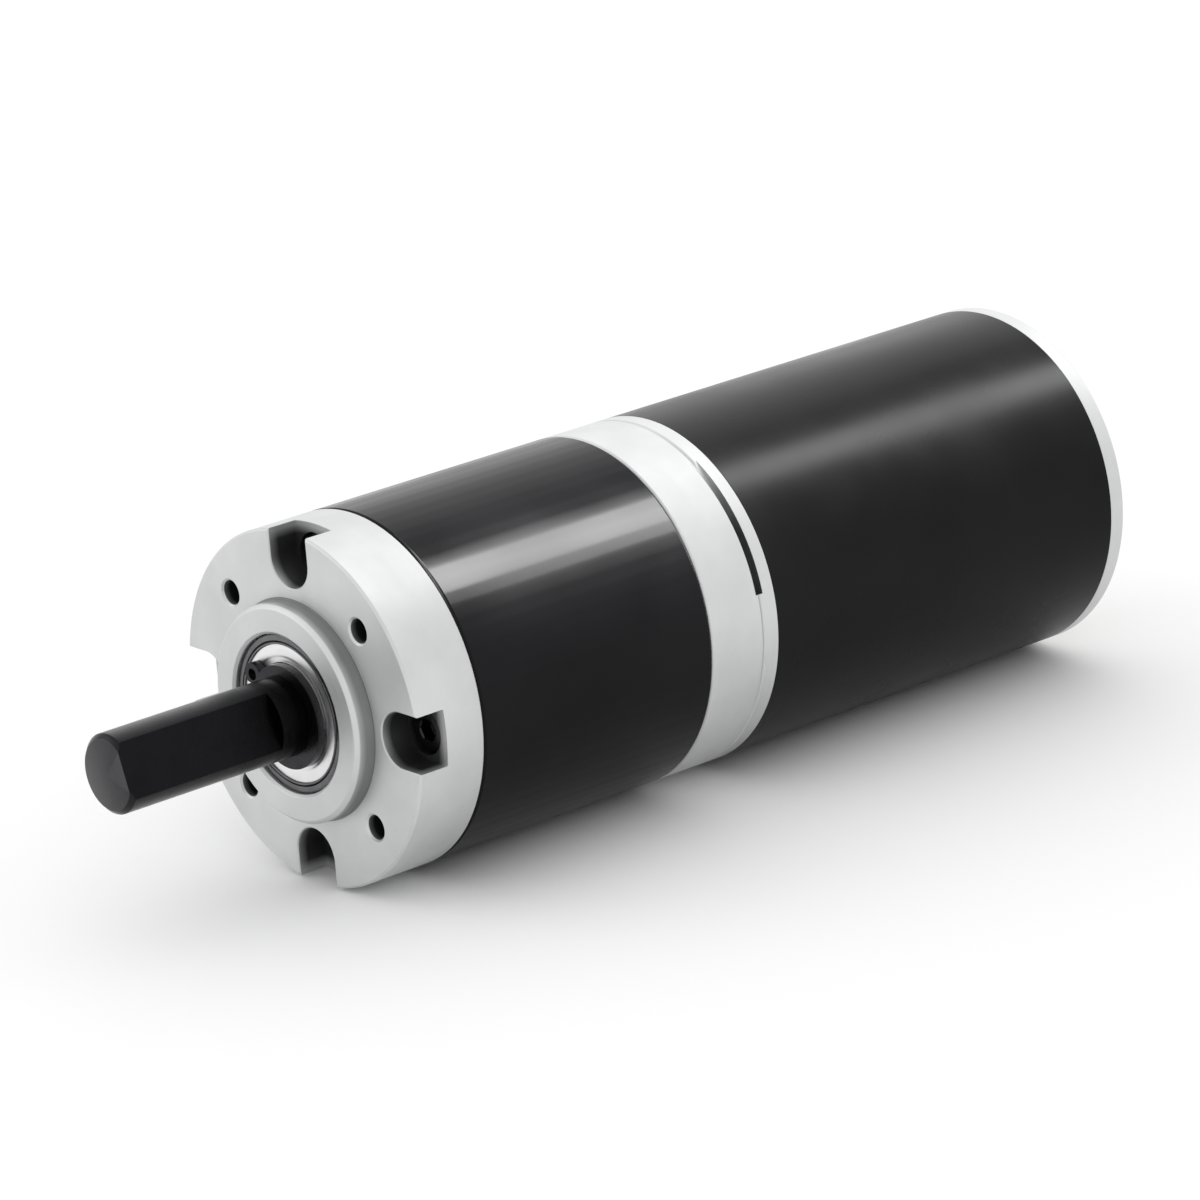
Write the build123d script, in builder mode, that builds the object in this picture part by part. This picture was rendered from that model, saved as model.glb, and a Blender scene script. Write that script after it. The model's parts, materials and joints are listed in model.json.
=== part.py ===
from build123d import *
import os
from math import acos, cos, degrees, pi, radians, sqrt, tan

# Planetary gearmotor with a 36 mm body and three planetary stages.
# The origin is the centre of the output flange's mounting face. The output shaft
# points along -Y, the motor lies along +Y and +Z is up. Lengths are in millimetres,
# stations are distances along +Y and angles run from +X towards +Z.

# Fits
seat_clearance = 0.02
running_clearance = 0.05
side_clearance = 0.3
edge_chamfer = 0.2

# Body, from the mounting face to the back of the motor
body_radius = 18.0
flange_length = 7.9
ring_gear_length = 29.1
adapter_length = 6.8
front_cap_rim = 1.9
can_length = 46.6
rear_cap_rim = 2.2

ring_gear_front = flange_length
adapter_front = ring_gear_front + ring_gear_length
front_cap_front = adapter_front + adapter_length
can_front = front_cap_front + front_cap_rim
can_back = can_front + can_length
rear_cap_back = can_back + rear_cap_rim

# Output flange
pilot_radius = 11.0
pilot_height = 2.1
pilot_chamfer = 0.4
bearing_recess = 0.5
mouth_chamfer = 0.3
bearing_shoulder = 2.0
shoulder_radius = 6.4
mounting_circle_radius = 14.0
mounting_hole_radius = 1.25
mounting_hole_depth = 6.0
mounting_angle = 45.0
slot_offset = 0.4
slot_half_width = 2.85
slot_depth = 3.3

# Screws that clamp the flange and the ring gear to the adapter
body_screw_wall = 0.4
body_screw_radius = 1.25
body_screw_hole_radius = 1.35
body_screw_engagement = 4.1
body_screw_head_radius = 2.25
body_screw_head_height = 2.5
body_screw_recess = 2.8
body_screw_recess_clearance = 0.12
body_screw_key = 2.0
body_screw_key_depth = 1.2
screw_count = 4
socket_sides = 6
motor_screw_count = 2

# Output shaft
shaft_radius = 4.0
extension_relief = 0.01
shaft_reach = 23.4
shaft_tip_chamfer = 0.5
flat_length = 18.0
shaft_across_flat = 6.9
flat_angle = 18.0
carrier_seat_radius = 3.6
carrier_seat_across = 5.8

# Retaining ring on the output shaft
circlip_thickness = 0.8
circlip_gap_clearance = 0.05
circlip_groove_depth = 0.2
circlip_radius = 5.2
circlip_offset = 0.3
circlip_ear_circle = 5.45
circlip_ear_radius = 1.15
circlip_ear_hole_radius = 0.6
circlip_ear_spread = 22.0
circlip_angle = 164.0

# Output ball bearings
bearing_radius = 8.0
bearing_width = 5.0
bearing_outer_wall = 1.05
bearing_inner_wall = 1.05
shield_thickness = 0.25
shield_recess = 0.15
cage_width = 2.6

# Planetary train: every stage runs in the one ring gear
gear_module = body_radius / 30
pressure_angle = radians(20)
ring_teeth = 40
sun_teeth = 14
planet_teeth = (ring_teeth - sun_teeth) // 2
planet_count = 3
backlash = 0.06
addendum_factor = 0.9
dedendum_factor = 1.2
ring_addendum_factor = 0.6
flank_steps = 2
gear_width = {"third": 5.5, "second": 4.5, "first": 4.0}
carrier_thickness = {"third": 2.5, "second": 2.0, "first": 2.0}
first_planet_angle = {"third": 90.0, "second": 50.0, "first": 10.0}
stage_gap = 0.7
carrier_gap = 0.64
carrier_boss_radius = 5.0
carrier_boss_length = 1.0
planet_pin_radius = 1.25
pin_stand = 0.1
sun_hub_radius = 2.6
register_wall = 0.23
register_length = 3.0
register_gap = 0.1

# Adapter between gearbox and motor
thrust_plate_thickness = 0.5
pinion_opening_radius = 5.6
adapter_screw_wall = 0.8
adapter_screw_radius = 1.5
adapter_screw_hole_radius = 1.6
adapter_screw_engagement = 2.8
adapter_screw_head_radius = 2.75
adapter_screw_head_height = 3.0
adapter_screw_head_depth = 3.6
adapter_screw_key = 2.5
adapter_screw_key_depth = 1.5
adapter_screw_angle = 45.0
parting_relief = 0.6
parting_relief_depth = 1.2
parting_relief_start = 11.0
parting_relief_end = 60.0

# Motor housing
can_wall = 1.5
cap_floor = 3.0
cap_spigot_length = 3.0
cap_spigot_wall = 3.28
cap_boss_radius = 6.5
cap_boss_length = 2.3
cap_lip = 1.0
rear_cap_chamfer = 0.5
rear_boss_radius = 5.5
rear_boss_length = 2.0
bush_radius = 3.5
bush_length = 4.5
bush_stand = 0.4
bush_end_radius = 2.4
magnet_thickness = 3.4
magnet_length = 30.0
magnet_front_gap = 5.3
magnet_span = 124.0
magnet_angles = (90.0, 270.0)
tie_bolt_wall = 0.25
tie_bolt_radius = 1.25
tie_bolt_hole_radius = 1.35
tie_bolt_engagement = 3.0
tie_bolt_head_radius = 2.25
tie_bolt_head_height = 1.6
tie_bolt_recess = 1.7
tie_bolt_recess_clearance = 0.15
tie_bolt_key = 2.0
tie_bolt_key_depth = 0.9
tie_bolt_thread_spare = 0.5

# Rotor
motor_shaft_radius = 2.0
motor_shaft_stand = 1.5
motor_shaft_chamfer = 0.3
pinion_length = 6.0
pole_count = 5
air_gap = 0.5
core_length = 24.0
core_front_gap = 9.3
core_hub_radius = 4.8
pole_neck_width = 3.6
pole_shoe_thickness = 1.6
slot_opening = 1.8
coil_side = 1.5
coil_end = 2.0
coil_inner_radius = 5.7
commutator_radius = 4.5
commutator_length = 6.0
commutator_gap = 4.0
commutator_hub_radius = 3.2
commutator_slot = 0.5

# Brush gear and terminals
brush_plate_thickness = 1.5
brush_plate_bore = 5.2
brush_width = 3.4
brush_thickness = 4.0
brush_length = 7.0
brush_gap = 0.05
holder_wall = 0.6
holder_inner_end = 5.4
holder_length = 8.0
spring_leaf = 0.3
spring_width = 2.6
terminal_gap = 1.15
terminal_width = 2.8
terminal_thickness = 0.5
terminal_reach = 6.5
insulator_wall = 0.8
insulator_stand = 0.6

# Facts that follow from the sizes
pilot_front = -pilot_height
front_bearing_front = pilot_front + bearing_recess
front_bearing_back = front_bearing_front + bearing_width
rear_bearing_front = front_bearing_back + bearing_shoulder
rear_bearing_back = rear_bearing_front + bearing_width
flange_back = flange_length + register_length
can_inner_radius = body_radius - can_wall
cap_spigot_outer = can_inner_radius - seat_clearance
cap_spigot_radius = cap_spigot_outer - cap_spigot_wall
stage_order = ("third", "second", "first")

pitch_radius = {
    "ring": gear_module * ring_teeth / 2,
    "sun": gear_module * sun_teeth / 2,
    "planet": gear_module * planet_teeth / 2,
}
planet_circle = pitch_radius["sun"] + pitch_radius["planet"]
ring_root = pitch_radius["ring"] + dedendum_factor * gear_module
ring_tip = pitch_radius["ring"] - ring_addendum_factor * gear_module
carrier_radius = ring_tip - carrier_gap
register_radius = ring_root + register_wall
spigot_radius = register_radius - seat_clearance

carrier_front = {}
gear_front = {}
gear_back = {}
next_carrier = rear_bearing_back + carrier_boss_length
for stage in stage_order:
    carrier_front[stage] = next_carrier
    gear_front[stage] = carrier_front[stage] + carrier_thickness[stage] + side_clearance
    gear_back[stage] = gear_front[stage] + gear_width[stage]
    next_carrier = gear_back[stage] + stage_gap

body_screw_circle = register_radius + body_screw_hole_radius + body_screw_wall
slot_circle = body_screw_circle + slot_offset
body_screw_seat = slot_depth + body_screw_recess
body_screw_length = adapter_front + body_screw_engagement - body_screw_seat
thrust_plate_front = gear_back["first"] + side_clearance
adapter_spigot_front = thrust_plate_front + thrust_plate_thickness
adapter_screw_circle = register_radius - adapter_screw_head_radius - adapter_screw_wall
adapter_screw_seat = adapter_spigot_front + adapter_screw_head_depth
adapter_screw_length = front_cap_front + adapter_screw_engagement - adapter_screw_seat
cap_boss_front = front_cap_front - cap_boss_length
front_cap_floor_back = front_cap_front + cap_floor
front_cap_back = can_front + cap_spigot_length
front_bush_front = cap_boss_front + cap_lip
front_bush_back = front_bush_front + bush_length
rear_cap_floor_front = rear_cap_back - cap_floor
rear_cap_front = can_back - cap_spigot_length
bush_front = rear_cap_floor_front - bush_stand
bush_back = bush_front + bush_length
rear_boss_back = rear_cap_back + rear_boss_length
tie_bolt_circle = can_inner_radius - tie_bolt_radius - tie_bolt_wall
tie_bolt_seat = rear_cap_back - tie_bolt_recess
tie_bolt_length = tie_bolt_seat - front_cap_back + tie_bolt_engagement
brush_plate_back = rear_cap_front
brush_plate_front = brush_plate_back - brush_plate_thickness
magnet_inner_radius = can_inner_radius - magnet_thickness
core_radius = magnet_inner_radius - air_gap
core_front = can_front + core_front_gap
core_back = core_front + core_length
commutator_front = core_back + commutator_gap
holder_depth = brush_thickness + 2 * holder_wall
holder_front = brush_plate_front - holder_depth
brush_front = holder_front + holder_wall
brush_inner_end = commutator_radius + brush_gap
slot_length = terminal_width + 2 * insulator_wall
slot_height = terminal_thickness + 2 * insulator_wall
terminal_circle = cap_spigot_radius - terminal_gap - slot_height / 2


def crosswise(station):
    """Plane across the axis at a station, with local x along X and local y along Z."""
    return Plane.XZ.offset(-station)


def ring(outer, inner, front, back):
    """Plain ring between two stations."""
    with BuildPart() as piece:
        with BuildSketch(crosswise(front)):
            Circle(outer)
            Circle(inner, mode=Mode.SUBTRACT)
        extrude(amount=front - back)
    return piece


def turned(points):
    """Solid of revolution about the axis, from corners given as radius and station."""
    with BuildPart() as piece:
        with BuildSketch(Plane.XY):
            with BuildLine():
                Polyline(*points, close=True)
            make_face()
        revolve(axis=Axis.Y)
    return piece


def socket_screws(seat, facing, circle, count, start, thread, length, head, height, key, key_depth):
    """Socket head screws round the axis; facing is +1 for a thread that runs towards the motor."""
    with BuildPart() as screws:
        with BuildSketch(crosswise(seat)):
            with PolarLocations(circle, count, start):
                Circle(head)
        extrude(amount=facing * height)
        with BuildSketch(crosswise(seat)):
            with PolarLocations(circle, count, start):
                Circle(thread)
        extrude(amount=-facing * length)
        with BuildSketch(crosswise(seat - facing * height)):
            with PolarLocations(circle, count, start):
                RegularPolygon(key / 2, socket_sides, major_radius=False)
        extrude(amount=-facing * key_depth, mode=Mode.SUBTRACT)
    return screws


def save(piece, name):
    """Label a finished piece and write it to its own file."""
    piece.part.label = name
    export_step(piece.part, f"parts/{name}.step")


# Gear geometry
def involute(angle):
    """Involute function: the tangent less the angle."""
    return tan(angle) - angle


def half_tooth_angle(radius, teeth, thinning):
    """Half the angle that a tooth covers at a radius, thinned at the pitch circle."""
    pitch = gear_module * teeth / 2
    base = pitch * cos(pressure_angle)
    profile_angle = acos(min(1.0, base / radius))
    half_at_pitch = pi / (2 * teeth) - thinning / (2 * pitch)
    return half_at_pitch + involute(pressure_angle) - involute(profile_angle)


def gear_outline(teeth, root, tip, thinning, phase):
    """Sketch of a gear with involute flanks in short straight steps, one tooth at the phase angle."""
    start = max(root, gear_module * teeth / 2 * cos(pressure_angle))
    flank_radii = [start + (tip - start) * step / flank_steps for step in range(flank_steps + 1)]
    flank = [(r, degrees(half_tooth_angle(r, teeth, thinning))) for r in flank_radii]
    if root < start:
        flank.insert(0, (root, flank[0][1]))
    tooth = [(r, -angle) for r, angle in flank] + [(r, angle) for r, angle in reversed(flank)]
    corners = [
        Vector(r, 0).rotate(Axis.Z, phase + index * 360 / teeth + angle)
        for index in range(teeth)
        for r, angle in tooth
    ]
    with BuildSketch(mode=Mode.PRIVATE) as outline:
        with BuildLine():
            Polyline(*corners, close=True)
        make_face()
    return outline.sketch


def outer_gear(teeth, front, back, phase):
    """External gear between two stations."""
    pitch = gear_module * teeth / 2
    root = pitch - dedendum_factor * gear_module
    tip = pitch + addendum_factor * gear_module
    with BuildPart() as gear:
        with BuildSketch(crosswise(front)):
            add(gear_outline(teeth, root, tip, backlash, phase))
        extrude(amount=front - back)
    return gear


def planet_phase(angle):
    """Angle of one planet tooth, for a planet at an angle round the ring gear."""
    return angle * (planet_teeth - ring_teeth) / planet_teeth


def sun_phase(angle):
    """Angle of one sun tooth that meshes with a planet at an angle round the ring gear."""
    return angle * (1 + ring_teeth / sun_teeth) + (planet_teeth - 1) * 180 / sun_teeth


os.makedirs("parts", exist_ok=True)

# Output flange: pilot boss, two bearing pockets, register spigot, mounting holes and screw slots
pocket_radius = bearing_radius + seat_clearance
with BuildPart() as front_flange:
    add(
        turned(
            [
                (pocket_radius, pilot_front),
                (pilot_radius, pilot_front),
                (pilot_radius, 0),
                (body_radius, 0),
                (body_radius, flange_length),
                (spigot_radius, flange_length),
                (spigot_radius, flange_back),
                (pocket_radius, flange_back),
                (pocket_radius, rear_bearing_front),
                (shoulder_radius, rear_bearing_front),
                (shoulder_radius, front_bearing_back),
                (pocket_radius, front_bearing_back),
            ]
        ).part
    )
    circles = front_flange.edges().filter_by(GeomType.CIRCLE)
    pilot_face_edges = circles.group_by(Axis.Y)[0].sort_by(SortBy.RADIUS)
    chamfer(pilot_face_edges[-1], pilot_chamfer)
    chamfer(pilot_face_edges[0], mouth_chamfer)
    rim_edges = front_flange.edges().filter_by(GeomType.CIRCLE)
    chamfer(rim_edges.filter_by(lambda edge: edge.radius > body_radius - edge_chamfer), edge_chamfer)
    with BuildSketch(crosswise(0)):
        with PolarLocations(slot_circle, screw_count):
            Circle(slot_half_width)
            with Locations((slot_half_width, 0)):
                Rectangle(2 * slot_half_width, 2 * slot_half_width)
    extrude(amount=-slot_depth, mode=Mode.SUBTRACT)
    with BuildSketch(crosswise(slot_depth)):
        with PolarLocations(body_screw_circle, screw_count):
            Circle(body_screw_head_radius + body_screw_recess_clearance)
    extrude(amount=-body_screw_recess, mode=Mode.SUBTRACT)
    with BuildSketch(crosswise(0)):
        with PolarLocations(body_screw_circle, screw_count):
            Circle(body_screw_hole_radius)
    extrude(amount=-flange_length, mode=Mode.SUBTRACT)
    with BuildSketch(crosswise(0)):
        with PolarLocations(mounting_circle_radius, screw_count, mounting_angle):
            Circle(mounting_hole_radius)
    extrude(amount=-mounting_hole_depth, mode=Mode.SUBTRACT)
save(front_flange, "front_flange")

# Long screws sunk below the flange slots, through the ring gear into the adapter
body_screws = socket_screws(
    body_screw_seat,
    1,
    body_screw_circle,
    screw_count,
    0,
    body_screw_radius,
    body_screw_length,
    body_screw_head_radius,
    body_screw_head_height,
    body_screw_key,
    body_screw_key_depth,
)
save(body_screws, "body_screws")

# Ring gear: toothed bore between the two registers, drilled lengthwise for the screws
rear_register_front = thrust_plate_front - register_gap
with BuildPart() as ring_gear:
    with BuildSketch(crosswise(ring_gear_front)):
        Circle(body_radius)
        with PolarLocations(body_screw_circle, screw_count):
            Circle(body_screw_hole_radius, mode=Mode.SUBTRACT)
    extrude(amount=-ring_gear_length)
    rim_edges = ring_gear.edges().filter_by(GeomType.CIRCLE)
    chamfer(rim_edges.filter_by(lambda edge: edge.radius > body_radius - edge_chamfer), edge_chamfer)
    with BuildSketch(crosswise(ring_gear_front)):
        Circle(register_radius)
    extrude(amount=-register_length - register_gap, mode=Mode.SUBTRACT)
    with BuildSketch(crosswise(rear_register_front)):
        Circle(register_radius)
    extrude(amount=rear_register_front - adapter_front, mode=Mode.SUBTRACT)
    with BuildSketch(crosswise(flange_back)):
        add(gear_outline(ring_teeth, ring_tip, ring_root, -backlash, 0))
    extrude(amount=flange_back - adapter_front, mode=Mode.SUBTRACT)
save(ring_gear, "ring_gear")

# Output ball bearings: outer and inner rings, the cage that holds the balls between them,
# and a shield on the front bearing's outer face
bearing_bore = shaft_radius + seat_clearance
outer_ring_bore = bearing_radius - bearing_outer_wall
inner_ring_radius = shaft_radius + bearing_inner_wall
for place, start in (("front", front_bearing_front), ("rear", rear_bearing_front)):
    end = start + bearing_width
    middle = (start + end) / 2
    save(ring(bearing_radius, outer_ring_bore, start, end), f"{place}_bearing_outer")
    save(ring(inner_ring_radius, bearing_bore, start, end), f"{place}_bearing_inner")
    cage = ring(
        outer_ring_bore - running_clearance,
        inner_ring_radius + running_clearance,
        middle - cage_width / 2,
        middle + cage_width / 2,
    )
    save(cage, f"{place}_bearing_cage")
shield_front = front_bearing_front + shield_recess
shield = ring(
    outer_ring_bore - seat_clearance,
    inner_ring_radius + running_clearance,
    shield_front,
    shield_front + shield_thickness,
)
save(shield, "front_bearing_shield")

# Retaining ring on the shaft, against the front bearing's inner ring
circlip_back = front_bearing_front
circlip_front = circlip_back - circlip_thickness
groove_radius = shaft_radius - circlip_groove_depth
ear_angles = (circlip_angle - circlip_ear_spread, circlip_angle + circlip_ear_spread)
ear_centres = [Vector(circlip_ear_circle, 0).rotate(Axis.Z, angle) for angle in ear_angles]
back_centre = Vector(-circlip_offset, 0).rotate(Axis.Z, circlip_angle)
gap_width = 2 * (circlip_ear_circle * tan(radians(circlip_ear_spread)) - circlip_ear_radius)
gap_centre = Vector(circlip_ear_circle, 0).rotate(Axis.Z, circlip_angle)
with BuildPart() as shaft_circlip:
    with BuildSketch(crosswise(circlip_front)):
        with Locations(back_centre):
            Circle(circlip_radius)
        with Locations(*ear_centres):
            Circle(circlip_ear_radius)
        Circle(groove_radius + seat_clearance, mode=Mode.SUBTRACT)
        with Locations(Location(gap_centre, (0, 0, circlip_angle))):
            Rectangle(2 * circlip_ear_circle - 2 * groove_radius, gap_width, mode=Mode.SUBTRACT)
        with Locations(*ear_centres):
            Circle(circlip_ear_hole_radius, mode=Mode.SUBTRACT)
    extrude(amount=circlip_front - circlip_back)
save(shaft_circlip, "shaft_circlip")

# Output shaft: the extension with its flat is ground a little under the bearing journal,
# then come the retaining ring groove, the journal and a two-flat seat in the carrier
shaft_tip = -shaft_reach
carrier_back = carrier_front["third"] + carrier_thickness["third"]
seat_front = rear_bearing_back
groove_front = circlip_front - circlip_gap_clearance
flat_back = shaft_tip + flat_length
flat_distance = shaft_across_flat - shaft_radius
with BuildPart() as output_shaft:
    with BuildSketch(crosswise(shaft_tip)):
        Circle(shaft_radius - extension_relief)
    extrude(amount=-flat_length)
    chamfer(output_shaft.edges().group_by(Axis.Y)[0], shaft_tip_chamfer)
    with BuildSketch(crosswise(shaft_tip)):
        with Locations(Location((0, 0, 0), (0, 0, flat_angle))):
            with Locations((flat_distance + shaft_radius, 0)):
                Rectangle(2 * shaft_radius, 2 * shaft_radius)
    extrude(amount=-flat_length, mode=Mode.SUBTRACT)
    with BuildSketch(crosswise(flat_back)):
        Circle(shaft_radius)
    extrude(amount=flat_back - seat_front)
    with BuildSketch(crosswise(groove_front)):
        Circle(shaft_radius + edge_chamfer)
        Circle(groove_radius, mode=Mode.SUBTRACT)
    extrude(amount=groove_front - circlip_back - circlip_gap_clearance, mode=Mode.SUBTRACT)
    with BuildSketch(crosswise(seat_front)):
        Circle(carrier_seat_radius)
        Rectangle(2 * carrier_seat_radius, carrier_seat_across, mode=Mode.INTERSECT)
    extrude(amount=seat_front - carrier_back)
save(output_shaft, "output_shaft")

# Three stages: a sintered carrier disc with its three pins, and the planets on them
for stage in stage_order:
    disc_front = carrier_front[stage]
    disc_back = disc_front + carrier_thickness[stage]
    front = gear_front[stage]
    back = gear_back[stage]
    start_angle = first_planet_angle[stage]
    with BuildPart() as carrier:
        with BuildSketch(crosswise(disc_front)):
            Circle(carrier_radius)
        extrude(amount=disc_front - disc_back)
        if stage == "third":
            with BuildSketch(crosswise(rear_bearing_back)):
                Circle(carrier_boss_radius)
            extrude(amount=-carrier_boss_length)
            with BuildSketch(crosswise(rear_bearing_back)):
                Circle(carrier_seat_radius + seat_clearance)
                Rectangle(
                    2 * carrier_seat_radius + 2 * seat_clearance,
                    carrier_seat_across + 2 * seat_clearance,
                    mode=Mode.INTERSECT,
                )
            extrude(amount=rear_bearing_back - disc_back, mode=Mode.SUBTRACT)
        else:
            with BuildSketch(crosswise(disc_front)):
                Circle(sun_hub_radius + seat_clearance)
            extrude(amount=disc_front - disc_back, mode=Mode.SUBTRACT)
        with BuildSketch(crosswise(disc_back)):
            with PolarLocations(planet_circle, planet_count, start_angle):
                Circle(planet_pin_radius)
        extrude(amount=disc_back - back - pin_stand)
    save(carrier, "output_carrier" if stage == "third" else f"{stage}_carrier")

    for index, letter in enumerate("abc"):
        angle = start_angle + index * 360 / planet_count
        centre = Vector(planet_circle, 0).rotate(Axis.Z, angle)
        root = pitch_radius["planet"] - dedendum_factor * gear_module
        tip = pitch_radius["planet"] + addendum_factor * gear_module
        with BuildPart() as planet:
            with BuildSketch(crosswise(front)):
                with Locations(centre):
                    add(gear_outline(planet_teeth, root, tip, backlash, planet_phase(angle)))
                    Circle(planet_pin_radius + running_clearance, mode=Mode.SUBTRACT)
            extrude(amount=front - back)
        save(planet, f"{stage}_planet_{letter}")

# Suns: two carried by the carriers behind them, and the pinion on the motor shaft
for stage, carrier_stage in (("third", "second"), ("second", "first")):
    hub_front = carrier_front[carrier_stage]
    hub_back = hub_front + carrier_thickness[carrier_stage]
    sun = outer_gear(sun_teeth, gear_front[stage], hub_front, sun_phase(first_planet_angle[stage]))
    with BuildPart() as sun_with_hub:
        add(sun.part)
        with BuildSketch(crosswise(hub_front)):
            Circle(sun_hub_radius)
        extrude(amount=hub_front - hub_back)
    save(sun_with_hub, f"{stage}_sun")

pinion_front = gear_front["first"]
pinion_back = pinion_front + pinion_length
pinion = outer_gear(sun_teeth, pinion_front, pinion_back, sun_phase(first_planet_angle["first"]))
with BuildPart() as motor_pinion:
    add(pinion.part)
    with BuildSketch(crosswise(pinion_front)):
        Circle(motor_shaft_radius + seat_clearance)
    extrude(amount=pinion_front - pinion_back, mode=Mode.SUBTRACT)
save(motor_pinion, "motor_pinion")

# Thrust plate between the first planets and the adapter
thrust_plate = ring(spigot_radius, pinion_opening_radius, thrust_plate_front, adapter_spigot_front)
save(thrust_plate, "thrust_plate")

# Adapter: register spigot in the ring gear, recess for the motor boss, parting relief at the back
relief_front = front_cap_front - parting_relief
with BuildPart() as adapter_plate:
    with BuildSketch(crosswise(adapter_front)):
        Circle(body_radius)
    extrude(amount=-adapter_length)
    rim_edges = adapter_plate.edges().filter_by(GeomType.CIRCLE)
    chamfer(rim_edges, edge_chamfer)
    with BuildSketch(crosswise(adapter_spigot_front)):
        Circle(spigot_radius)
    extrude(amount=adapter_spigot_front - adapter_front)
    with BuildSketch(crosswise(adapter_spigot_front)):
        Circle(pinion_opening_radius)
    extrude(amount=adapter_spigot_front - front_cap_front, mode=Mode.SUBTRACT)
    with BuildSketch(crosswise(cap_boss_front - seat_clearance)):
        Circle(cap_boss_radius + seat_clearance)
    extrude(amount=-cap_boss_length - seat_clearance, mode=Mode.SUBTRACT)
    with BuildSketch(crosswise(adapter_spigot_front)):
        with PolarLocations(adapter_screw_circle, motor_screw_count, adapter_screw_angle):
            Circle(adapter_screw_head_radius + running_clearance)
    extrude(amount=-adapter_screw_head_depth, mode=Mode.SUBTRACT)
    with BuildSketch(crosswise(adapter_spigot_front)):
        with PolarLocations(adapter_screw_circle, motor_screw_count, adapter_screw_angle):
            Circle(adapter_screw_hole_radius)
    extrude(amount=adapter_spigot_front - front_cap_front, mode=Mode.SUBTRACT)
    with BuildSketch(crosswise(adapter_front)):
        with PolarLocations(body_screw_circle, screw_count):
            Circle(body_screw_radius + seat_clearance)
    extrude(amount=-adapter_length, mode=Mode.SUBTRACT)
    with BuildSketch(crosswise(relief_front)):
        with BuildLine():
            CenterArc(
                (0, 0),
                body_radius - parting_relief_depth,
                parting_relief_start,
                parting_relief_end - parting_relief_start,
            )
            CenterArc(
                (0, 0),
                body_radius + parting_relief_depth,
                parting_relief_start,
                parting_relief_end - parting_relief_start,
            )
            for angle in (parting_relief_start, parting_relief_end):
                Line(
                    Vector(body_radius - parting_relief_depth, 0).rotate(Axis.Z, angle),
                    Vector(body_radius + parting_relief_depth, 0).rotate(Axis.Z, angle),
                )
        make_face()
    extrude(amount=-parting_relief, mode=Mode.SUBTRACT)
save(adapter_plate, "adapter_plate")

adapter_screws = socket_screws(
    adapter_screw_seat,
    1,
    adapter_screw_circle,
    motor_screw_count,
    adapter_screw_angle,
    adapter_screw_radius,
    adapter_screw_length,
    adapter_screw_head_radius,
    adapter_screw_head_height,
    adapter_screw_key,
    adapter_screw_key_depth,
)
save(adapter_screws, "adapter_screws")

# Motor front cap: rim, boss with the bush pocket, spigot in the can, tapped holes
with BuildPart() as motor_front_cap:
    add(
        turned(
            [
                (bush_end_radius, cap_boss_front),
                (cap_boss_radius, cap_boss_front),
                (cap_boss_radius, front_cap_front),
                (body_radius - edge_chamfer, front_cap_front),
                (body_radius, front_cap_front + edge_chamfer),
                (body_radius, can_front),
                (cap_spigot_outer, can_front),
                (cap_spigot_outer, front_cap_back),
                (cap_spigot_radius, front_cap_back),
                (cap_spigot_radius, front_cap_floor_back),
                (bush_radius + seat_clearance, front_cap_floor_back),
                (bush_radius + seat_clearance, front_bush_front),
                (bush_end_radius, front_bush_front),
            ]
        ).part
    )
    with BuildSketch(crosswise(front_cap_front)):
        with PolarLocations(adapter_screw_circle, motor_screw_count, adapter_screw_angle):
            Circle(adapter_screw_radius + seat_clearance)
    extrude(amount=-cap_floor, mode=Mode.SUBTRACT)
    tie_bolt_hole_front = tie_bolt_seat - tie_bolt_length - tie_bolt_thread_spare
    with BuildSketch(crosswise(tie_bolt_hole_front)):
        with PolarLocations(tie_bolt_circle, motor_screw_count):
            Circle(tie_bolt_radius + seat_clearance)
    extrude(amount=tie_bolt_hole_front - front_cap_back, mode=Mode.SUBTRACT)
save(motor_front_cap, "motor_front_cap")

# Motor can with its two magnets
motor_can = ring(body_radius, can_inner_radius, can_front, can_back)
save(motor_can, "motor_can")

magnet_front = can_front + magnet_front_gap
with BuildPart() as magnets:
    with BuildSketch(crosswise(magnet_front)):
        for middle in magnet_angles:
            with BuildLine():
                arc_start = middle - magnet_span / 2
                inner_arc = CenterArc((0, 0), magnet_inner_radius, arc_start, magnet_span)
                outer_arc = CenterArc((0, 0), cap_spigot_outer, arc_start, magnet_span)
                Line(inner_arc @ 0, outer_arc @ 0)
                Line(inner_arc @ 1, outer_arc @ 1)
            make_face()
    extrude(amount=-magnet_length)
save(magnets, "magnets")

# Rotor: shaft, laminated core, coils, commutator
motor_shaft_back = rear_boss_back - motor_shaft_stand
motor_shaft_front = pinion_front
with BuildPart() as motor_shaft:
    with BuildSketch(crosswise(motor_shaft_front)):
        Circle(motor_shaft_radius)
    extrude(amount=motor_shaft_front - motor_shaft_back)
    chamfer(motor_shaft.edges().filter_by(GeomType.CIRCLE), motor_shaft_chamfer)
save(motor_shaft, "motor_shaft")

pole_shoe_inner = core_radius - pole_shoe_thickness
neck_length = core_radius - pole_shoe_thickness / 2
with BuildPart() as armature_core:
    with BuildSketch(crosswise(core_front)):
        Circle(core_radius)
        Circle(pole_shoe_inner, mode=Mode.SUBTRACT)
        with PolarLocations(core_radius, pole_count, 180 / pole_count):
            Rectangle(2 * pole_shoe_thickness + air_gap, slot_opening, mode=Mode.SUBTRACT)
        Circle(core_hub_radius)
        with PolarLocations(neck_length / 2, pole_count):
            Rectangle(neck_length, pole_neck_width)
        Circle(motor_shaft_radius + seat_clearance, mode=Mode.SUBTRACT)
    extrude(amount=core_front - core_back)
save(armature_core, "armature_core")

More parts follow.
